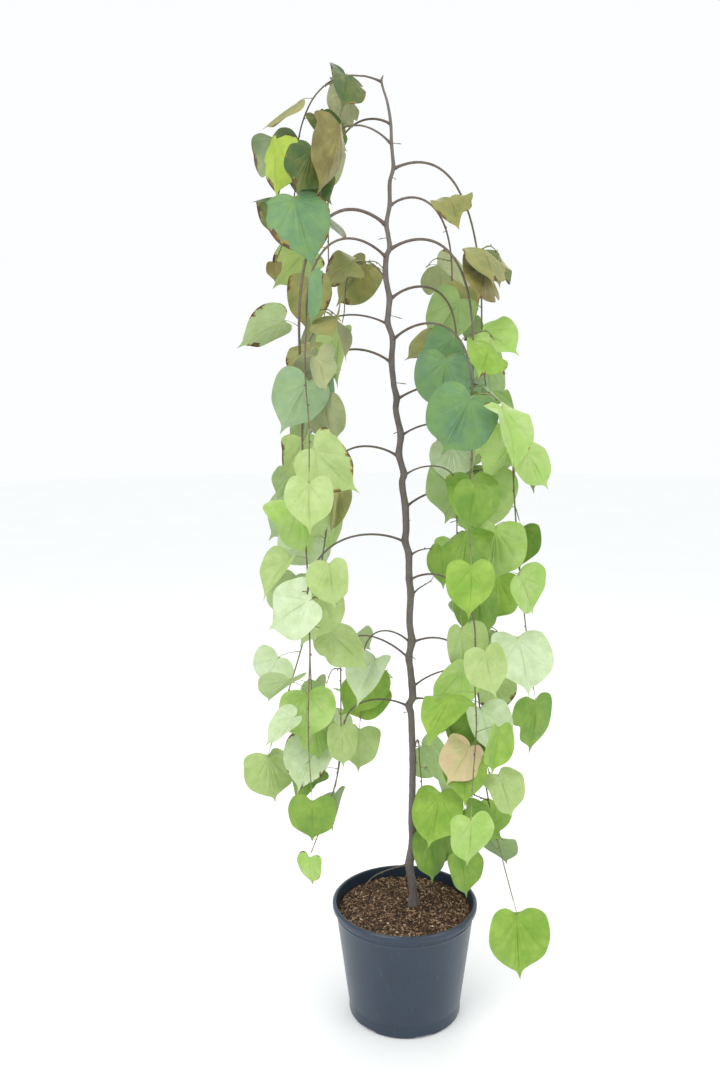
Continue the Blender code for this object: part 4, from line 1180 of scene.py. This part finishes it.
def blade_faces(count, rays, rings):
    """Corner numbers of one leaf after another: the fan at each pole, the rings of each skin, and the rim."""
    per_skin = rays * rings
    number = np.arange(2 * per_skin).reshape(2, rays, rings)
    front, back = number
    front_beside, back_beside = np.roll(number, -1, axis=1)
    pole = np.full(rays, 2 * per_skin)
    groups = (
        (
            (pole, front[:, 0], front_beside[:, 0]),
            (pole + 1, back_beside[:, 0], back[:, 0]),
        ),
        (
            (front[:, :-1], front[:, 1:], front_beside[:, 1:], front_beside[:, :-1]),
            (back[:, :-1], back_beside[:, :-1], back_beside[:, 1:], back[:, 1:]),
        ),
        ((front_beside[:, -1], front[:, -1], back[:, -1], back_beside[:, -1]),),
    )
    shift = (np.arange(count) * (2 * per_skin + 2))[:, None, None]
    faces = []
    for group in groups:
        sides = len(group[0])
        skins = np.stack([np.stack(face, axis=-1) for face in group])
        faces.append((skins.reshape(1, -1, sides) + shift).reshape(-1, sides))
    return faces


def leaves_of(limbs):
    return [leaf for limb in limbs for leaf in planned()[1][limb.name][1]]


def deal_tints(limbs):
    """A tint for each leaf of these limbs: each spray draws its own from the band at the leaf's height."""
    names = list(TINTS)
    odd = {leaf: tint for tint, leaves in ODD_LEAVES.items() for leaf in leaves.split()}
    dealt = []
    for limb in limbs:
        rng = random.Random(limb.seed + 1000)
        for number, leaf in enumerate(leaves_of([limb])):
            height = leaf.base.z - TINTED_FROM * leaf.size
            left, right = next(choices for low, *choices in TINT_BANDS if height >= low)
            drawn = rng.choice((left if leaf.base.x < 0 else right).split())
            dealt.append(names.index(odd.get(f"{limb.name}.{number}", drawn)))
    return np.array(dealt)


def make_leaf_skin(limbs, vein_width, seed):
    """All leaves of these limbs, their faces dealt to the slots of each tint: face, back and vein. Dry and
    singed edges stand where a sum of sines round the rim is high, on the leaves that have them."""
    leaves = leaves_of(limbs)
    tints = deal_tints(limbs)
    corners, poles = blades(leaves, vein_width, seed)
    count, _, rays, rings, _ = corners.shape
    veins = blade_grid()[2]
    rng = np.random.default_rng(seed + 50)
    scorch = 3 * len(TINTS)
    singed = scorch + 1
    kinds = np.stack((np.where(veins, 2, 0), np.where(veins, 2, 1)))[None]
    fan_slots = 3 * tints[:, None, None] + kinds
    wall_slots = np.repeat(fan_slots[..., None], rings - 1, axis=-1)
    shares = [next(share for low, share in BURNT_SHARES if leaf.base.z > low) for leaf in leaves]
    burnt = rng.random(count) < shares
    angle = np.linspace(0, FULL_TURN, rays)
    patchy = np.zeros((count, rays))
    for waves, height in SCORCH_WAVES:
        patchy = patchy + height * np.sin(waves * angle + rng.uniform(*PHASES, (count, 1)))
    patchy = np.where(burnt[:, None], patchy, -math.inf)
    for strip, singed_from, dry_from in SCORCH_STRIPS:
        kind = np.where(patchy > dry_from, scorch, singed)[:, None]
        wall_slots[..., strip] = np.where((patchy > singed_from)[:, None], kind, wall_slots[..., strip])
    edge_slots = np.where(patchy > SCORCH_STRIPS[0][2], scorch, 3 * tints[:, None] + 1)
    slots = np.concatenate((fan_slots.ravel(), wall_slots.ravel(), edge_slots.ravel()))
    flat = np.concatenate((corners.reshape(count, -1, 3), poles), axis=1)
    return Skin().add(flat.reshape(-1, 3), blade_faces(count, rays, rings), slots)


def make_stalk_skin():
    """The leaf stalks: a curve from the shoot that rises a little and turns down into the blade, thicker at
    both ends, P = (1-t)^3 A + 3 t (1-t)^2 B + 3 t^2 (1-t) C + t^3 D."""
    skin = Skin()
    for limb in LIMBS:
        twigs, leaves = planned()[1][limb.name]
        if not leaves:
            continue
        wood = np.concatenate([shoot_path(limb)] + [smooth_path(twig, STALK_TWIG_STEP) for twig in twigs])
        base, axis, normal, size = leaf_frames(leaves)
        root = rows(leaf.root for leaf in leaves)
        root = wood[np.argmin(np.linalg.norm(wood[None] - root[:, None], axis=-1), axis=1)]
        end = base + (axis * LEAF_POLE + normal * BLADE_HALF * 0.3) * size[:, None]
        length = np.linalg.norm(end - root, axis=1)[:, None]
        before = end - axis * STALK_PULL * length + normal * STALK_ARCH * length
        after = root + (end - root) * STALK_PULL + UP * STALK_ARCH * length
        a, b, c, d = (point[:, None] for point in (root, after, before, end))
        t = np.linspace(0, 1, len(STALK_RADII))[None, :, None]
        paths = (1 - t) ** 3 * a + 3 * t * (1 - t) ** 2 * b + 3 * t**2 * (1 - t) * c + t**3 * d
        radii = STALK_RADII * (size[:, None] / STALK_LEAF) ** 0.5
        skin.add(*tube_skin(tubes(paths, radii, normal[:, None] + 0.05, SPRIG_SIDES)))
    return skin


# Pot and compost

POT_TURNS = 252
CORNER_STEPS = 4
CORNER_REACH = 0.0010
CORNER_MOST = 0.45
NOTCH_SLOPE = 0.0015
SOIL_TURNS = 160
SOIL_FINE_RINGS = 54
SOIL_POLE = 0.004
SOIL_SUNK = 0.0015
CLOD_HEIGHT = 0.0016
CLODS = ((0.016, 11, 1.0), (0.006, 12, 0.6))
HEAP_HEIGHT, HEAP_REACH = 0.003, 0.035
# Chips: how many, their seed, lengths with the factors that spread them, half widths, and the shares of
# dark, brown, tan and pale ones
CHIP_COUNT = 5200
CHIP_SEED = 21
CHIP_LENGTHS, CHIP_STRETCHES = (0.004, 0.013), (0.7, 1.0, 1.35)
CHIP_WIDTHS = (0.0008, 0.0027)
CHIP_TONES = (0.34, 0.38, 0.24, 0.04)
CHIP_LIFT = 0.0006
CHIP_OFF_WALL = 0.006
# How much chips tilt, roll and bend, and where their four rings stand, how wide and how flat
CHIP_TILT, CHIP_ROLL, CHIP_BEND, CHIP_BEND_AXES = 0.30, 0.4, 0.35, (1, 1, 0.6)
CHIP_RINGS = np.array((-1.0, -0.4, 0.4, 1.0))
CHIP_TAPER = np.array((0.25, 1.0, 1.0, 0.25))
CHIP_FLAT = np.array((0.35, 1.0, 0.35, 1.0))


def rounded(profile, reach):
    """A profile with each corner replaced by a curve that starts and ends within reach of it:
    (1-t)^2 A + 2 t (1-t) B + t^2 C, where B is the corner."""
    profile = np.asarray(profile, float)
    inner = profile[1:-1]

    def near(ends):
        far = np.linalg.norm(ends - inner, axis=1, keepdims=True)
        return (inner + (ends - inner) / far * np.minimum(reach, far * CORNER_MOST))[:, None]

    t = np.linspace(0, 1, CORNER_STEPS)[None, :, None]
    curves = (1 - t) ** 2 * near(profile[:-2]) + 2 * t * (1 - t) * inner[:, None] + t**2 * near(profile[2:])
    return np.concatenate((profile[:1], curves.reshape(-1, 2), profile[-1:]))


def pot_profile():
    """The pot's half section as (radius, height): up inside, over the lip, down outside and under."""
    ring_top = POT_HEIGHT - POT_RING_DROP
    ring_foot = ring_top - POT_RING_HEIGHT
    lip_foot = POT_HEIGHT - POT_LIP_HEIGHT

    def wall(height):
        share = (height - POT_STEP_HEIGHT) / (lip_foot - POT_STEP_HEIGHT)
        base = POT_BASE_RADIUS + POT_STEP_DEPTH
        return base + (POT_TOP_RADIUS - base) * share

    notch_end = POT_BASE_RADIUS - DRAIN_REACH
    half_way = 0.5 * (ring_foot + POT_STEP_HEIGHT)
    outside = (
        (POT_BASE_RADIUS - POT_FOOT_ROUND - POT_WALL, POT_FLOOR),
        (wall(lip_foot) - POT_WALL, lip_foot),
        (wall(lip_foot) - 0.5 * POT_WALL, POT_HEIGHT - 0.0015),
        (wall(lip_foot) + 0.5 * POT_WALL, POT_HEIGHT),
        (POT_RIM_RADIUS - POT_LIP_ROUND, POT_HEIGHT),
        (POT_RIM_RADIUS, POT_HEIGHT - POT_LIP_ROUND),
        (POT_RIM_RADIUS - 0.0004, lip_foot + 0.0012),
        (POT_RIM_RADIUS - 0.0016, lip_foot),
        (POT_RIM_RADIUS - POT_LIP_LEDGE, lip_foot - POT_EDGE_SLOPE),
        (wall(lip_foot) + 0.0002, lip_foot - POT_EDGE_SLOPE),
        (wall(ring_top), ring_top + 0.0008),
        (wall(ring_top) + POT_RING_PROUD, ring_top - POT_EDGE_SLOPE),
        (wall(ring_foot) + POT_RING_PROUD, ring_foot + POT_EDGE_SLOPE),
        (wall(ring_foot), ring_foot - 0.0008),
        (wall(half_way), half_way),
        (wall(POT_STEP_HEIGHT), POT_STEP_HEIGHT),
        (wall(POT_STEP_HEIGHT) - POT_STEP_DEPTH, POT_STEP_HEIGHT - POT_EDGE_SLOPE),
        (POT_BASE_RADIUS, POT_FOOT_ROUND),
        (POT_BASE_RADIUS - POT_FOOT_ROUND, 0.0),
        (notch_end + 0.0006, 0.0),
        (notch_end, 0.0),
        (0.6 * notch_end, 0.0),
    )
    return rounded(outside, CORNER_REACH)


def make_pot_skin():
    """The profile turned about Z, with its underside raised in each drain notch: z = max(z, notch height)
    within the notch's width of its azimuth and outside its inner end. Flat discs close both ends."""
    profile = pot_profile()
    turn = turns(POT_TURNS)
    radius, height = (profile[:, axis, None] + 0 * turn for axis in (0, 1))
    pitch = FULL_TURN / DRAIN_NOTCHES
    from_notch = (turn - math.radians(DRAIN_FIRST_AZIMUTH) + pitch / 2) % pitch - pitch / 2
    cut = np.clip((DRAIN_WIDTH / 2 - np.abs(from_notch) * POT_BASE_RADIUS) / NOTCH_SLOPE + 0.5, 0, 1)
    outside = np.arange(len(profile))[:, None] > len(profile) // 2
    notched = outside & (radius > POT_BASE_RADIUS - DRAIN_REACH + 0.0001)
    height = np.where(notched, np.maximum(height, DRAIN_HEIGHT * cut), height)
    return Skin().add(*turned_skin(around(radius, turn, height)))


def soil_height(radius, turn):
    """The compost's top: level near the trunk, falling to the wall by the square of the radius, heaped a
    little round the trunk, with clods from noise."""
    place = around(radius, turn, 0)
    level = SOIL_TOP - SOIL_SUNK - SOIL_EDGE_DROP * (radius / (POT_TOP_RADIUS - POT_WALL)) ** 2
    clods = layered(place, CLODS)
    off_trunk = np.hypot(place[..., 0] - TRUNK_LEAN[0][1], place[..., 1])
    return level + CLOD_HEIGHT * clods + HEAP_HEIGHT * np.exp(-((off_trunk / HEAP_REACH) ** 2))


def make_soil_skin():
    """A disc of rings with the height above, closed down the pot's wall to its floor."""
    foot = POT_BASE_RADIUS - POT_FOOT_ROUND - POT_WALL - 2 * SEAM
    share = (SOIL_TOP - SOIL_EDGE_DROP - POT_FLOOR) / (POT_HEIGHT - POT_LIP_HEIGHT - POT_FLOOR)
    edge = foot + (POT_TOP_RADIUS - POT_WALL - foot) * share - 2 * SEAM
    turn = turns(SOIL_TURNS)
    radius = np.linspace(SOIL_POLE, edge, SOIL_FINE_RINGS)[:, None] + 0 * turn
    top = around(radius, turn, soil_height(radius, turn))
    return Skin().add(*turned_skin(np.concatenate((top, around(foot, turn, POT_FLOOR + SEAM)[None]))))


def make_chip_skin():
    """Bark chips and fibres: bent flat spindles that lie on the compost, P(s) = centre + D s + B s^2, with a
    half width w (1 - s^2)."""
    rng = np.random.default_rng(CHIP_SEED)
    rim = POT_TOP_RADIUS - POT_WALL - CHIP_OFF_WALL
    radius = rim * np.sqrt(rng.uniform(0, 1, CHIP_COUNT))
    turn = rng.uniform(0, FULL_TURN, CHIP_COUNT)
    length = rng.uniform(*CHIP_LENGTHS, CHIP_COUNT) * rng.choice(CHIP_STRETCHES, CHIP_COUNT)
    width = rng.uniform(*CHIP_WIDTHS, CHIP_COUNT)
    radius = np.minimum(radius, rim - 0.5 * length)
    centre = around(radius, turn, soil_height(radius, turn) + CHIP_LIFT)
    ahead = unit(around(1, rng.uniform(0, FULL_TURN, CHIP_COUNT), rng.normal(0, CHIP_TILT, CHIP_COUNT)))
    bend = rng.normal(0, CHIP_BEND, (CHIP_COUNT, 3)) * CHIP_BEND_AXES
    s = CHIP_RINGS[None, :, None]
    paths = centre[:, None] + (ahead[:, None] * s + bend[:, None] * s**2) * length[:, None, None] / 2
    up = UP + rng.normal(0, CHIP_ROLL, (CHIP_COUNT, 1, 3))
    corners = tubes(paths, CHIP_TAPER * width[:, None], up, len(CHIP_FLAT))
    corners = paths[:, :, None] + (corners - paths[:, :, None]) * CHIP_FLAT[None, None, :, None]
    tone = rng.choice(len(CHIP_TONES), CHIP_COUNT, p=CHIP_TONES)
    points, faces = tube_skin(corners)
    slots = np.concatenate((np.repeat(tone, len(faces[0]) // CHIP_COUNT), tone, tone))
    return Skin().add(points, faces, slots)


# Materials


class Finish:
    """A material in the making: its nodes, its shader's inputs, and the Object coordinates that it reads."""

    def __init__(self, name, roughness, specular):
        self.material = bpy.data.materials.new(name)
        self.material.use_nodes = True
        self.tree = self.material.node_tree
        self.shader = self.tree.nodes["Principled BSDF"].inputs
        self.shader["Roughness"].default_value = roughness
        self.shader["Specular IOR Level"].default_value = specular
        self.place = self.node("TexCoord", "Object")

    def feed(self, socket, value):
        """Links a socket to another, or gives it a number, vector or colour."""
        if isinstance(value, bpy.types.NodeSocket):
            self.tree.links.new(value, socket)
        else:
            socket.default_value = (*value, 1) if socket.type == "RGBA" else value

    def node(self, kind, output, inputs=None, **settings):
        """An output of a new node with these settings and inputs."""
        made = self.tree.nodes.new("ShaderNode" + kind)
        for name, value in settings.items():
            setattr(made, name, value)
        for name, value in (inputs or {}).items():
            self.feed(made.inputs[name], value)
        return made.outputs[output]

    def noise(self, scale, detail, stretch=None):
        place = self.place
        if stretch:
            place = self.node("Mapping", "Vector", {"Vector": place, "Scale": stretch})
        settings = {"Vector": place, "Scale": scale, "Detail": detail, "Roughness": 0.6}
        return self.node("TexNoise", "Fac", settings)

    def cells(self, scale, **settings):
        return self.node("TexVoronoi", "Distance", {"Vector": self.place, "Scale": scale}, **settings)

    def ramp(self, factor, *stops):
        """A colour ramp whose stops are (place, colour)."""
        colour = self.node("ValToRGB", "Color", {"Fac": factor})
        for element, (at, value) in zip(colour.node.color_ramp.elements, stops):
            element.position, element.color = at, (*value, 1)
        for at, value in stops[2:]:
            colour.node.color_ramp.elements.new(at).color = (*value, 1)
        return colour

    def mix(self, factor, first, second, blend_type="MIX"):
        inputs = {"Factor": factor, "A": first, "B": second}
        return self.node("Mix", "Result", inputs, data_type="RGBA", blend_type=blend_type)

    def done(self, colour, bump=None, roughness=None):
        """Colours the shader, with a bump (height, strength, distance) and roughness (factor, low, high)."""
        self.feed(self.shader["Base Color"], colour)
        if roughness:
            inputs = dict(zip(("Value", "To Min", "To Max"), roughness))
            self.feed(self.shader["Roughness"], self.node("MapRange", "Result", inputs))
        if bump:
            inputs = dict(zip(("Height", "Strength", "Distance"), bump))
            self.feed(self.shader["Normal"], self.node("Bump", "Normal", inputs))
        return self.material


def grey(level):
    return (level,) * 3


def shade(colour, factor):
    return tuple(min(channel * factor, 1.0) for channel in colour)


def blended(first, second, share):
    return tuple(a + (b - a) * share for a, b in zip(first, second))


def bark_material(name, old, young):
    """Mottled bark with fine streaks along the stem and pale pores, greener where the age value is high."""
    made = Finish(name, 0.60, 0.45)
    mottle = made.noise(95.0, 5.0, (1, 1, 0.45))
    streaks = made.noise(420.0, 3.0, (1, 1, 0.22))
    base = made.ramp(mottle, (0.36, shade(old, 0.74)), (0.52, old), (0.66, shade(old, 1.32)))
    base = made.mix(streaks, base, shade(old, 0.85))
    pores = made.ramp(made.cells(260.0), (0.10, grey(1)), (0.22, grey(0)))
    base = made.mix(pores, base, shade(old, 1.8))
    age = made.node("Attribute", "Fac", attribute_name="age")
    green = made.ramp(mottle, (0.35, shade(young, 0.75)), (0.65, shade(young, 1.2)))
    return made.done(made.mix(age, base, green), (streaks, 0.55, 0.0006), (streaks, 0.48, 0.76))


def leaf_material(name, colour, other, roughness, specular):
    """A leaf's own plain colour that passes into another in broad soft patches, darkened in other soft
    patches of painted shade, under a faint net.
    """
    made = Finish(name, roughness, specular)
    tint = made.ramp(made.noise(21.0, 3.0), (0.38, colour), (0.66, other))
    # Painted shade: soft darker patches multiplied over the blade and stalk
    shadow = made.ramp(made.noise(48.0, 3.0), (0.30, (0.84, 0.86, 0.82)), (0.70, grey(1)))
    tint = made.mix(1.0, tint, shadow, "MULTIPLY")
    net = made.cells(260.0, feature="DISTANCE_TO_EDGE")
    tint = made.mix(1.0, tint, made.ramp(net, (0.0, grey(0.92)), (0.09, grey(1))), "MULTIPLY")
    return made.done(tint, (net, 0.10, 0.0005), (made.noise(520.0, 2.0), roughness - 0.07, roughness + 0.10))


def vein_colour(colour):
    """Darker than a pale leaf, and a little lighter than a dark one."""
    pale = sum(colour) > VEIN_SHADED_ABOVE
    return shade(colour, VEIN_SHADE) if pale else blended(colour, VEIN_TINT, VEIN_SHARE)


def leaf_materials():
    """Face, back and vein of each tint, and last the scorched and the singed edge."""
    made = []
    for name, pair in TINTS.items():
        back = [blended(colour, BACK_TINT, BACK_SHARE) for colour in pair]
        vein = [vein_colour(colour) for colour in pair]
        made.append(leaf_material("leaf_" + name, *pair, 0.46, 0.38))
        made.append(leaf_material("leaf_back_" + name, *back, 0.62, 0.25))
        made.append(leaf_material("leaf_vein_" + name, *vein, 0.55, 0.30))
    made.append(leaf_material("leaf_scorched_edge", SCORCH, shade(SCORCH, 1.7), 0.70, 0.20))
    made.append(leaf_material("leaf_singed_edge", SINGED, shade(SINGED, 0.7), 0.65, 0.25))
    return made


def pot_material(colour):
    """Satin moulded plastic: faint clouding and fine scuffs."""
    made = Finish("moulded plastic", 0.30, 0.5)
    scuffs = made.noise(120.0, 6.0, (1, 1, 0.15))
    base = made.ramp(made.noise(14.0, 4.0), (0.30, shade(colour, 0.90)), (0.70, shade(colour, 1.10)))
    marks = made.ramp(scuffs, (0.60, grey(0)), (0.80, grey(0.16)))
    base = made.mix(marks, base, (0.20, 0.23, 0.26))
    return made.done(base, (made.noise(900.0, 2.0), 0.10, 0.0003), (scuffs, 0.24, 0.40))


def chip_material(name, colour):
    """Wood and bark fibre: streaks of light and dark with a rough grain."""
    made = Finish(name, 0.90, 0.2)
    fibre = made.noise(380.0, 4.0)
    tint = made.ramp(fibre, (0.30, shade(colour, 0.60)), (0.70, shade(colour, 1.35)))
    return made.done(tint, (fibre, 0.6, 0.0008))


def floor_material(colour):
    """Pale floor with hardly any cloud."""
    made = Finish("pale floor", 0.60, 0.2)
    return made.done(made.ramp(made.noise(2.0, 2.0), (0.3, shade(colour, 0.985)), (0.7, colour)))


# Settings, operators and panel

# The compost's paler chips and fibres
CHIP_COLOURS = (
    ("brown chips", (0.150, 0.088, 0.050)),
    ("tan chips", (0.340, 0.220, 0.135)),
    ("pale fibres", (0.560, 0.430, 0.290)),
)


def colour_setting(name, description, default):
    return FloatVectorProperty(name=name, description=description, default=default, subtype="COLOR")


class RedbudSizes(bpy.types.PropertyGroup):
    """Sizes of the fine surfaces."""

    trunk_step: FloatProperty(
        name="Trunk ring spacing",
        description="Height between two rings of the trunk's skin",
        default=0.004,
        unit="LENGTH",
    )
    vein_width: FloatProperty(
        name="Vein half width",
        description="Half a main vein's width at the stalk, as a share of the leaf",
        default=0.0062,
    )
    leaf_seed: IntProperty(
        name="Leaf seed", description="Seed of each leaf's own fold, curl and ripples", default=40
    )
    floor_radius: FloatProperty(
        name="Floor radius", description="Radius of the studio floor", default=14.0, unit="LENGTH"
    )


class RedbudLooks(bpy.types.PropertyGroup):
    """Base colours of the finishes."""

    bark: colour_setting("Trunk bark", "Bark of the trunk", (0.150, 0.130, 0.115))
    bough_bark: colour_setting("Bough bark", "Bark of the boughs and shoots", (0.138, 0.100, 0.086))
    young_bark: colour_setting("Young bark", "Bark of the hanging shoots' tips", (0.190, 0.210, 0.075))
    stalks: colour_setting("Leaf stalks", "Stalks of the leaves", (0.360, 0.380, 0.140))
    pot: colour_setting("Pot", "Moulded plastic of the pot", (0.018, 0.034, 0.060))
    soil: colour_setting("Compost", "Damp compost", (0.050, 0.032, 0.022))
    floor: colour_setting("Floor", "Studio floor", (0.985, 0.995, 0.995))


class REDBUD_OT_trunk(bpy.types.Operator):
    """Make the trunk's skin with its root flare, collars and bark relief"""

    bl_idname = "redbud.trunk"
    bl_label = "Trunk"

    def execute(self, context):
        looks = context.scene.redbud_looks
        bark = bark_material("trunk bark", tuple(looks.bark), tuple(looks.young_bark))
        make_trunk_skin(context.scene.redbud_sizes.trunk_step).piece("trunk_bark", [bark], "bark", ["trunk"])
        return {"FINISHED"}


class REDBUD_OT_boughs(bpy.types.Operator):
    """Make the arching boughs and the leafless twigs, grown out of the trunk's collars"""

    bl_idname = "redbud.boughs"
    bl_label = "Boughs"

    def execute(self, context):
        looks = context.scene.redbud_looks
        bark = bark_material("bough bark", tuple(looks.bough_bark), tuple(looks.young_bark))
        nodes = ["bough_" + limb.name for limb in LIMBS if limb.name not in SHORT_LIMBS]
        nodes += ["twig_" + twig.name for twig in BARE_TWIGS]
        make_bough_skin().piece("bough_bark", [bark], "bark", nodes)
        return {"FINISHED"}


class REDBUD_OT_shoots(bpy.types.Operator):
    """Make the hanging shoots with their side twigs, spurs and buds"""

    bl_idname = "redbud.shoots"
    bl_label = "Shoots"

    def execute(self, context):
        looks = context.scene.redbud_looks
        bark = bark_material("shoot bark", tuple(looks.bough_bark), tuple(looks.young_bark))
        make_shoot_skin().piece("shoots", [bark], "bark", foliage_nodes())
        return {"FINISHED"}


class REDBUD_OT_stalks(bpy.types.Operator):
    """Make the leaf stalks"""

    bl_idname = "redbud.stalks"
    bl_label = "Leaf stalks"

    def execute(self, context):
        colour = tuple(context.scene.redbud_looks.stalks)
        stalk = leaf_material("leaf stalk", colour, shade(colour, 0.8), 0.5, 0.4)
        make_stalk_skin().piece("leaf_stalks", [stalk], "leaves", foliage_nodes())
        return {"FINISHED"}


class REDBUD_OT_leaves(bpy.types.Operator):
    """Make the heart-shaped leaves of the upper, middle and lower limbs"""

    bl_idname = "redbud.leaves"
    bl_label = "Leaves"

    def execute(self, context):
        sizes = context.scene.redbud_sizes
        materials = leaf_materials()
        for number, (name, low, high) in enumerate(LEAF_PIECES):
            limbs = [limb for limb in LIMBS if low < limb.height <= high]
            skin = make_leaf_skin(limbs, sizes.vein_width, sizes.leaf_seed + number)
            skin.piece(name, materials, "leaves", foliage_nodes(limbs), sharp=70)
        return {"FINISHED"}


class REDBUD_OT_pot(bpy.types.Operator):
    """Make the pot with its rolled lip, moulded ring, stepped foot and drain notches"""

    bl_idname = "redbud.pot"
    bl_label = "Pot"

    def execute(self, context):
        plastic = pot_material(tuple(context.scene.redbud_looks.pot))
        make_pot_skin().piece("pot_shell", [plastic], "pot", ["pot"], sharp=40)
        return {"FINISHED"}


class REDBUD_OT_compost(bpy.types.Operator):
    """Make the compost with the bark chips and fibres that lie on it"""

    bl_idname = "redbud.compost"
    bl_label = "Compost"

    def execute(self, context):
        colour = tuple(context.scene.redbud_looks.soil)
        bed = chip_material("damp compost", colour)
        make_soil_skin().piece("compost_bed", [bed], "soil", ["soil"], sharp=80)
        tones = [chip_material("dark chips", shade(colour, 1.1))]
        tones += [chip_material(name, tone) for name, tone in CHIP_COLOURS]
        make_chip_skin().piece("compost_chips", tones, "soil", ["soil"], sharp=80)
        return {"FINISHED"}


class REDBUD_OT_stage(bpy.types.Operator):
    """Set up the floor, the soft lights and the camera at the photograph's viewing angle"""

    bl_idname = "redbud.stage"
    bl_label = "Stage"

    def execute(self, context):
        scene = context.scene
        make_floor(scene.redbud_sizes.floor_radius, tuple(scene.redbud_looks.floor))
        make_lights()
        make_camera()
        scene.view_settings.view_transform = "Standard"
        return {"FINISHED"}


FLOOR_DROP = 0.0005
FLOOR_SIDES = 96
CAMERA_PLACE = (-0.1044, -2.329, 1.5605)
CAMERA_PITCH = 9.247
CAMERA_ROLL = -0.0063
CAMERA_LENS = 33.856
CAMERA_SENSOR = 36.0
SURROUND = (0.975, 0.99, 1.0, 1)
LIGHT_COLOUR = (1.0, 0.985, 0.96)
LIGHT_AIM = Vector((0, 0, 1.0))
# Soft panels: name, place, size and power
PANELS = (
    ("key panel", (-1.9, -2.2, 3.3), 2.2, 46.0),
    ("fill panel", (2.3, -1.6, 2.6), 2.0, 22.0),
    ("back panel", (0.6, 2.6, 3.2), 2.2, 20.0),
)


def place_in_scene(name, data):
    made = bpy.data.objects.new(name, data)
    bpy.context.scene.collection.objects.link(made)
    return made


def make_floor(radius, colour):
    """A disc a hair below the pot, closed at its centre."""
    mesh = bpy.data.meshes.new("floor")
    corners = around(radius, turns(FLOOR_SIDES), -FLOOR_DROP)
    mesh.from_pydata(corners.tolist(), [], [list(range(FLOOR_SIDES))])
    mesh.materials.append(floor_material(colour))
    floor = place_in_scene("floor", mesh)


def make_lights():
    """A white surround, and large soft panels above, left, right and behind the camera."""
    world = bpy.data.worlds.new("studio")
    world.use_nodes = True
    back = world.node_tree.nodes["Background"].inputs
    back["Color"].default_value = SURROUND
    back["Strength"].default_value = 1.0
    bpy.context.scene.world = world
    for name, place, size, power in PANELS:
        light = bpy.data.lights.new(name, "AREA")
        light.size = size
        light.energy = power
        light.color = LIGHT_COLOUR
        lamp = place_in_scene(name, light)
        lamp.location = place
        lamp.rotation_euler = (LIGHT_AIM - Vector(place)).to_track_quat("-Z", "Y").to_euler()


def make_camera():
    """The photograph's camera, pitched down and rolled by a fraction of a degree."""
    data = bpy.data.cameras.new("camera")
    data.lens = CAMERA_LENS
    data.sensor_width = CAMERA_SENSOR
    data.sensor_height = CAMERA_SENSOR
    camera = place_in_scene("camera", data)
    camera.location = CAMERA_PLACE
    level = Euler((math.radians(90 - CAMERA_PITCH), 0, 0)).to_matrix()
    camera.rotation_euler = (level @ Euler((0, 0, CAMERA_ROLL)).to_matrix()).to_euler()
    bpy.context.scene.camera = camera


# In the order in which they run
OPERATORS = (
    REDBUD_OT_trunk,
    REDBUD_OT_boughs,
    REDBUD_OT_shoots,
    REDBUD_OT_stalks,
    REDBUD_OT_leaves,
    REDBUD_OT_pot,
    REDBUD_OT_compost,
    REDBUD_OT_stage,
)


class REDBUD_PT_panel(bpy.types.Panel):
    """The redbud's settings and its makers, in the order in which they run"""

    bl_idname = "REDBUD_PT_panel"
    bl_label = "Redbud"
    bl_space_type = "VIEW_3D"
    bl_region_type = "UI"
    bl_category = "Redbud"

    def draw(self, context):
        for settings in (context.scene.redbud_sizes, context.scene.redbud_looks):
            for name in settings.__annotations__:
                self.layout.prop(settings, name)
        for operator in OPERATORS:
            self.layout.operator(operator.bl_idname)


CLASSES = (RedbudSizes, RedbudLooks, *OPERATORS, REDBUD_PT_panel)


def register():
    for each in CLASSES:
        bpy.utils.register_class(each)
    bpy.types.Scene.redbud_sizes = PointerProperty(type=RedbudSizes)
    bpy.types.Scene.redbud_looks = PointerProperty(type=RedbudLooks)


def unregister():
    del bpy.types.Scene.redbud_looks
    del bpy.types.Scene.redbud_sizes
    for each in reversed(CLASSES):
        bpy.utils.unregister_class(each)


def main():
    register()
    bpy.ops.redbud.trunk()
    bpy.ops.redbud.boughs()
    bpy.ops.redbud.shoots()
    bpy.ops.redbud.stalks()
    bpy.ops.redbud.leaves()
    bpy.ops.redbud.pot()
    bpy.ops.redbud.compost()
    bpy.ops.redbud.stage()


if __name__ == "__main__":
    main()
